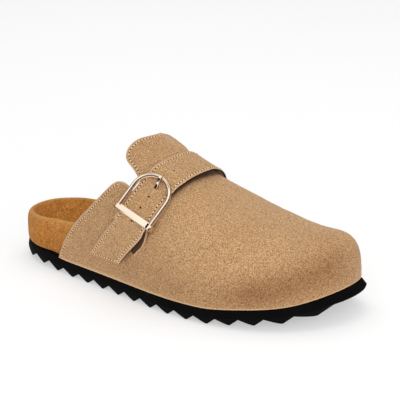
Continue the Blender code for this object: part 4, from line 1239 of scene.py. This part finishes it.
# bands are what polished pieces see in the sky: height of the direction, brightness; mirroredRun is
# where the floor that they see darkens, in heights of the buckle
stage = {"floorSize": 12.0, "floorTone": (0.60, 0.60, 0.60, 1.0), "floorMottle": (0.59, 0.59, 0.595, 1.0),
         "floorGlow": 0.44, "worldStrength": 0.60, "mirrorStrength": 1.15,
         "mirroredFloor": (0.03, 0.028, 0.026, 1.0), "mirroredRun": (2.43, 2.86),
         "bands": ((0.0, 0.02), (0.08, 0.02), (0.11, 0.9), (0.15, 0.9), (0.18, 0.02), (0.57, 0.02),
                   (0.60, 0.95), (0.84, 1.0), (0.87, 0.25), (0.93, 0.3), (0.96, 0.9))}
# name, place, target, size, watts, colour
lights = [("overheadSoft", (-0.25, 0.35, 1.5), (0, 0, 0.03), (1.3, 1.3), 6.5, (1.0, 0.995, 0.98)),
          ("frontFill", (0.8, -1.35, 0.75), (0, 0, 0.04), (1.0, 0.8), 10.5, (1, 1, 1)),
          ("toeFill", (1.6, -0.3, 0.55), (0.1, 0, 0.04), (0.8, 0.7), 4.5, (1, 1, 1))]
camera = {"place": (0.54844, -0.75811, 0.38747), "azimuth": 35.0, "elevation": 19.19, "roll": -0.446,
          "lens": 128.14, "sensor": 36.0, "clipEnd": 50.0}


def makeFloor():
    bench = MaterialBench("floorPaper")
    tone = bench.mix(bench.ramp(bench.noise(3.0), 0.3, 0.7), stage["floorTone"], stage["floorMottle"])
    paper = bench.finish(tone, None, 0.9, Specular_IOR_Level=0.1, Emission_Color=(1, 1, 1, 1),
                         Emission_Strength=stage["floorGlow"])
    # polished pieces see a dark floor beyond a fixed ring round the buckle, as in a shaded studio
    middle = inBuckle([(0, buckle["reach"] / 2, 0)])[0]
    away = bench.add("ShaderNodeVectorMath", {0: bench.place, 1: (middle[0], middle[1], 0)},
                     operation="DISTANCE").outputs["Value"]
    far = bench.ramp(away, *(middle[2] * run for run in stage["mirroredRun"]))
    glossy = bench.add("ShaderNodeLightPath").outputs["Is Glossy Ray"]
    dark = bench.add("ShaderNodeEmission", {"Color": stage["mirroredFloor"]})
    pick = bench.add("ShaderNodeMixShader", {
        0: bench.multiply(glossy, far), 1: bench.shader.outputs[0], 2: dark.outputs[0]})
    bench.feed(bench.tree.nodes["Material Output"].inputs["Surface"], pick.outputs[0])
    half = stage["floorSize"] / 2
    corners = [(-half, -half, 0), (half, -half, 0), (half, half, 0), (-half, half, 0)]
    meshObject("floorPlane", corners, [(0, 1, 2, 3)], [paper])


def makeWorld():
    world = bpy.data.worlds.new("softStudio")
    bpy.context.scene.world = world
    world.use_nodes = True
    sky = TreeBench(world.node_tree)
    sky.tree.nodes.remove(sky.tree.nodes["Background"])

    def glow(colour, strength):
        return sky.add("ShaderNodeBackground", {"Color": colour, "Strength": strength}).outputs[0]

    direction = sky.add("ShaderNodeTexCoord").outputs["Generated"]
    height = sky.add("ShaderNodeSeparateXYZ", {0: direction}).outputs["Z"]
    bands = sky.add("ShaderNodeValToRGB", {0: height})
    stops = bands.color_ramp.elements
    while len(stops) < len(stage["bands"]):
        stops.new(0.5)
    for stop, (at, tone) in zip(stops, stage["bands"]):
        stop.position = at
        stop.color = (tone, tone, tone, 1)
    # white to the camera, banded to polished pieces, soft and even to all else
    path = sky.add("ShaderNodeLightPath").outputs
    white = (1, 1, 1, 1)
    seen = sky.add("ShaderNodeMixShader", {
        0: path["Is Camera Ray"], 1: glow(white, stage["worldStrength"]), 2: glow(white, 1.0)})
    whole = sky.add("ShaderNodeMixShader", {
        0: path["Is Glossy Ray"], 1: seen.outputs[0], 2: glow(bands.outputs[0], stage["mirrorStrength"])})
    sky.feed(sky.tree.nodes["World Output"].inputs["Surface"], whole.outputs[0])


def makeLights():
    for name, place, target, size, power, colour in lights:
        data = bpy.data.lights.new(name, "AREA")
        data.shape = "RECTANGLE"
        data.size, data.size_y = size
        data.energy = power
        data.color = colour
        light = linked(name, data)
        light.visible_glossy = False
        light.location = place
        light.rotation_euler = (Vector(target) - Vector(place)).to_track_quat("-Z", "Y").to_euler()


def makeCamera():
    az, el, roll = (radians(camera[k]) for k in ("azimuth", "elevation", "roll"))
    back = Vector((sin(az) * cos(el), -cos(az) * cos(el), sin(el)))
    right = Vector((cos(az), sin(az), 0))
    up = back.cross(right)
    turnedRight = right * cos(roll) + up * sin(roll)
    turnedUp = -right * sin(roll) + up * cos(roll)
    matrix = Matrix((turnedRight, turnedUp, back)).transposed().to_4x4()
    matrix.translation = Vector(camera["place"])
    data = bpy.data.cameras.new("photoCamera")
    data.lens = camera["lens"]
    data.sensor_width = camera["sensor"]
    data.clip_end = camera["clipEnd"]
    obj = linked("photoCamera", data)
    obj.matrix_world = matrix
    bpy.context.scene.camera = obj


makeFloor()
makeWorld()
makeLights()
makeCamera()
bpy.context.scene.view_settings.view_transform = "Standard"
print("stage, lights and camera set")
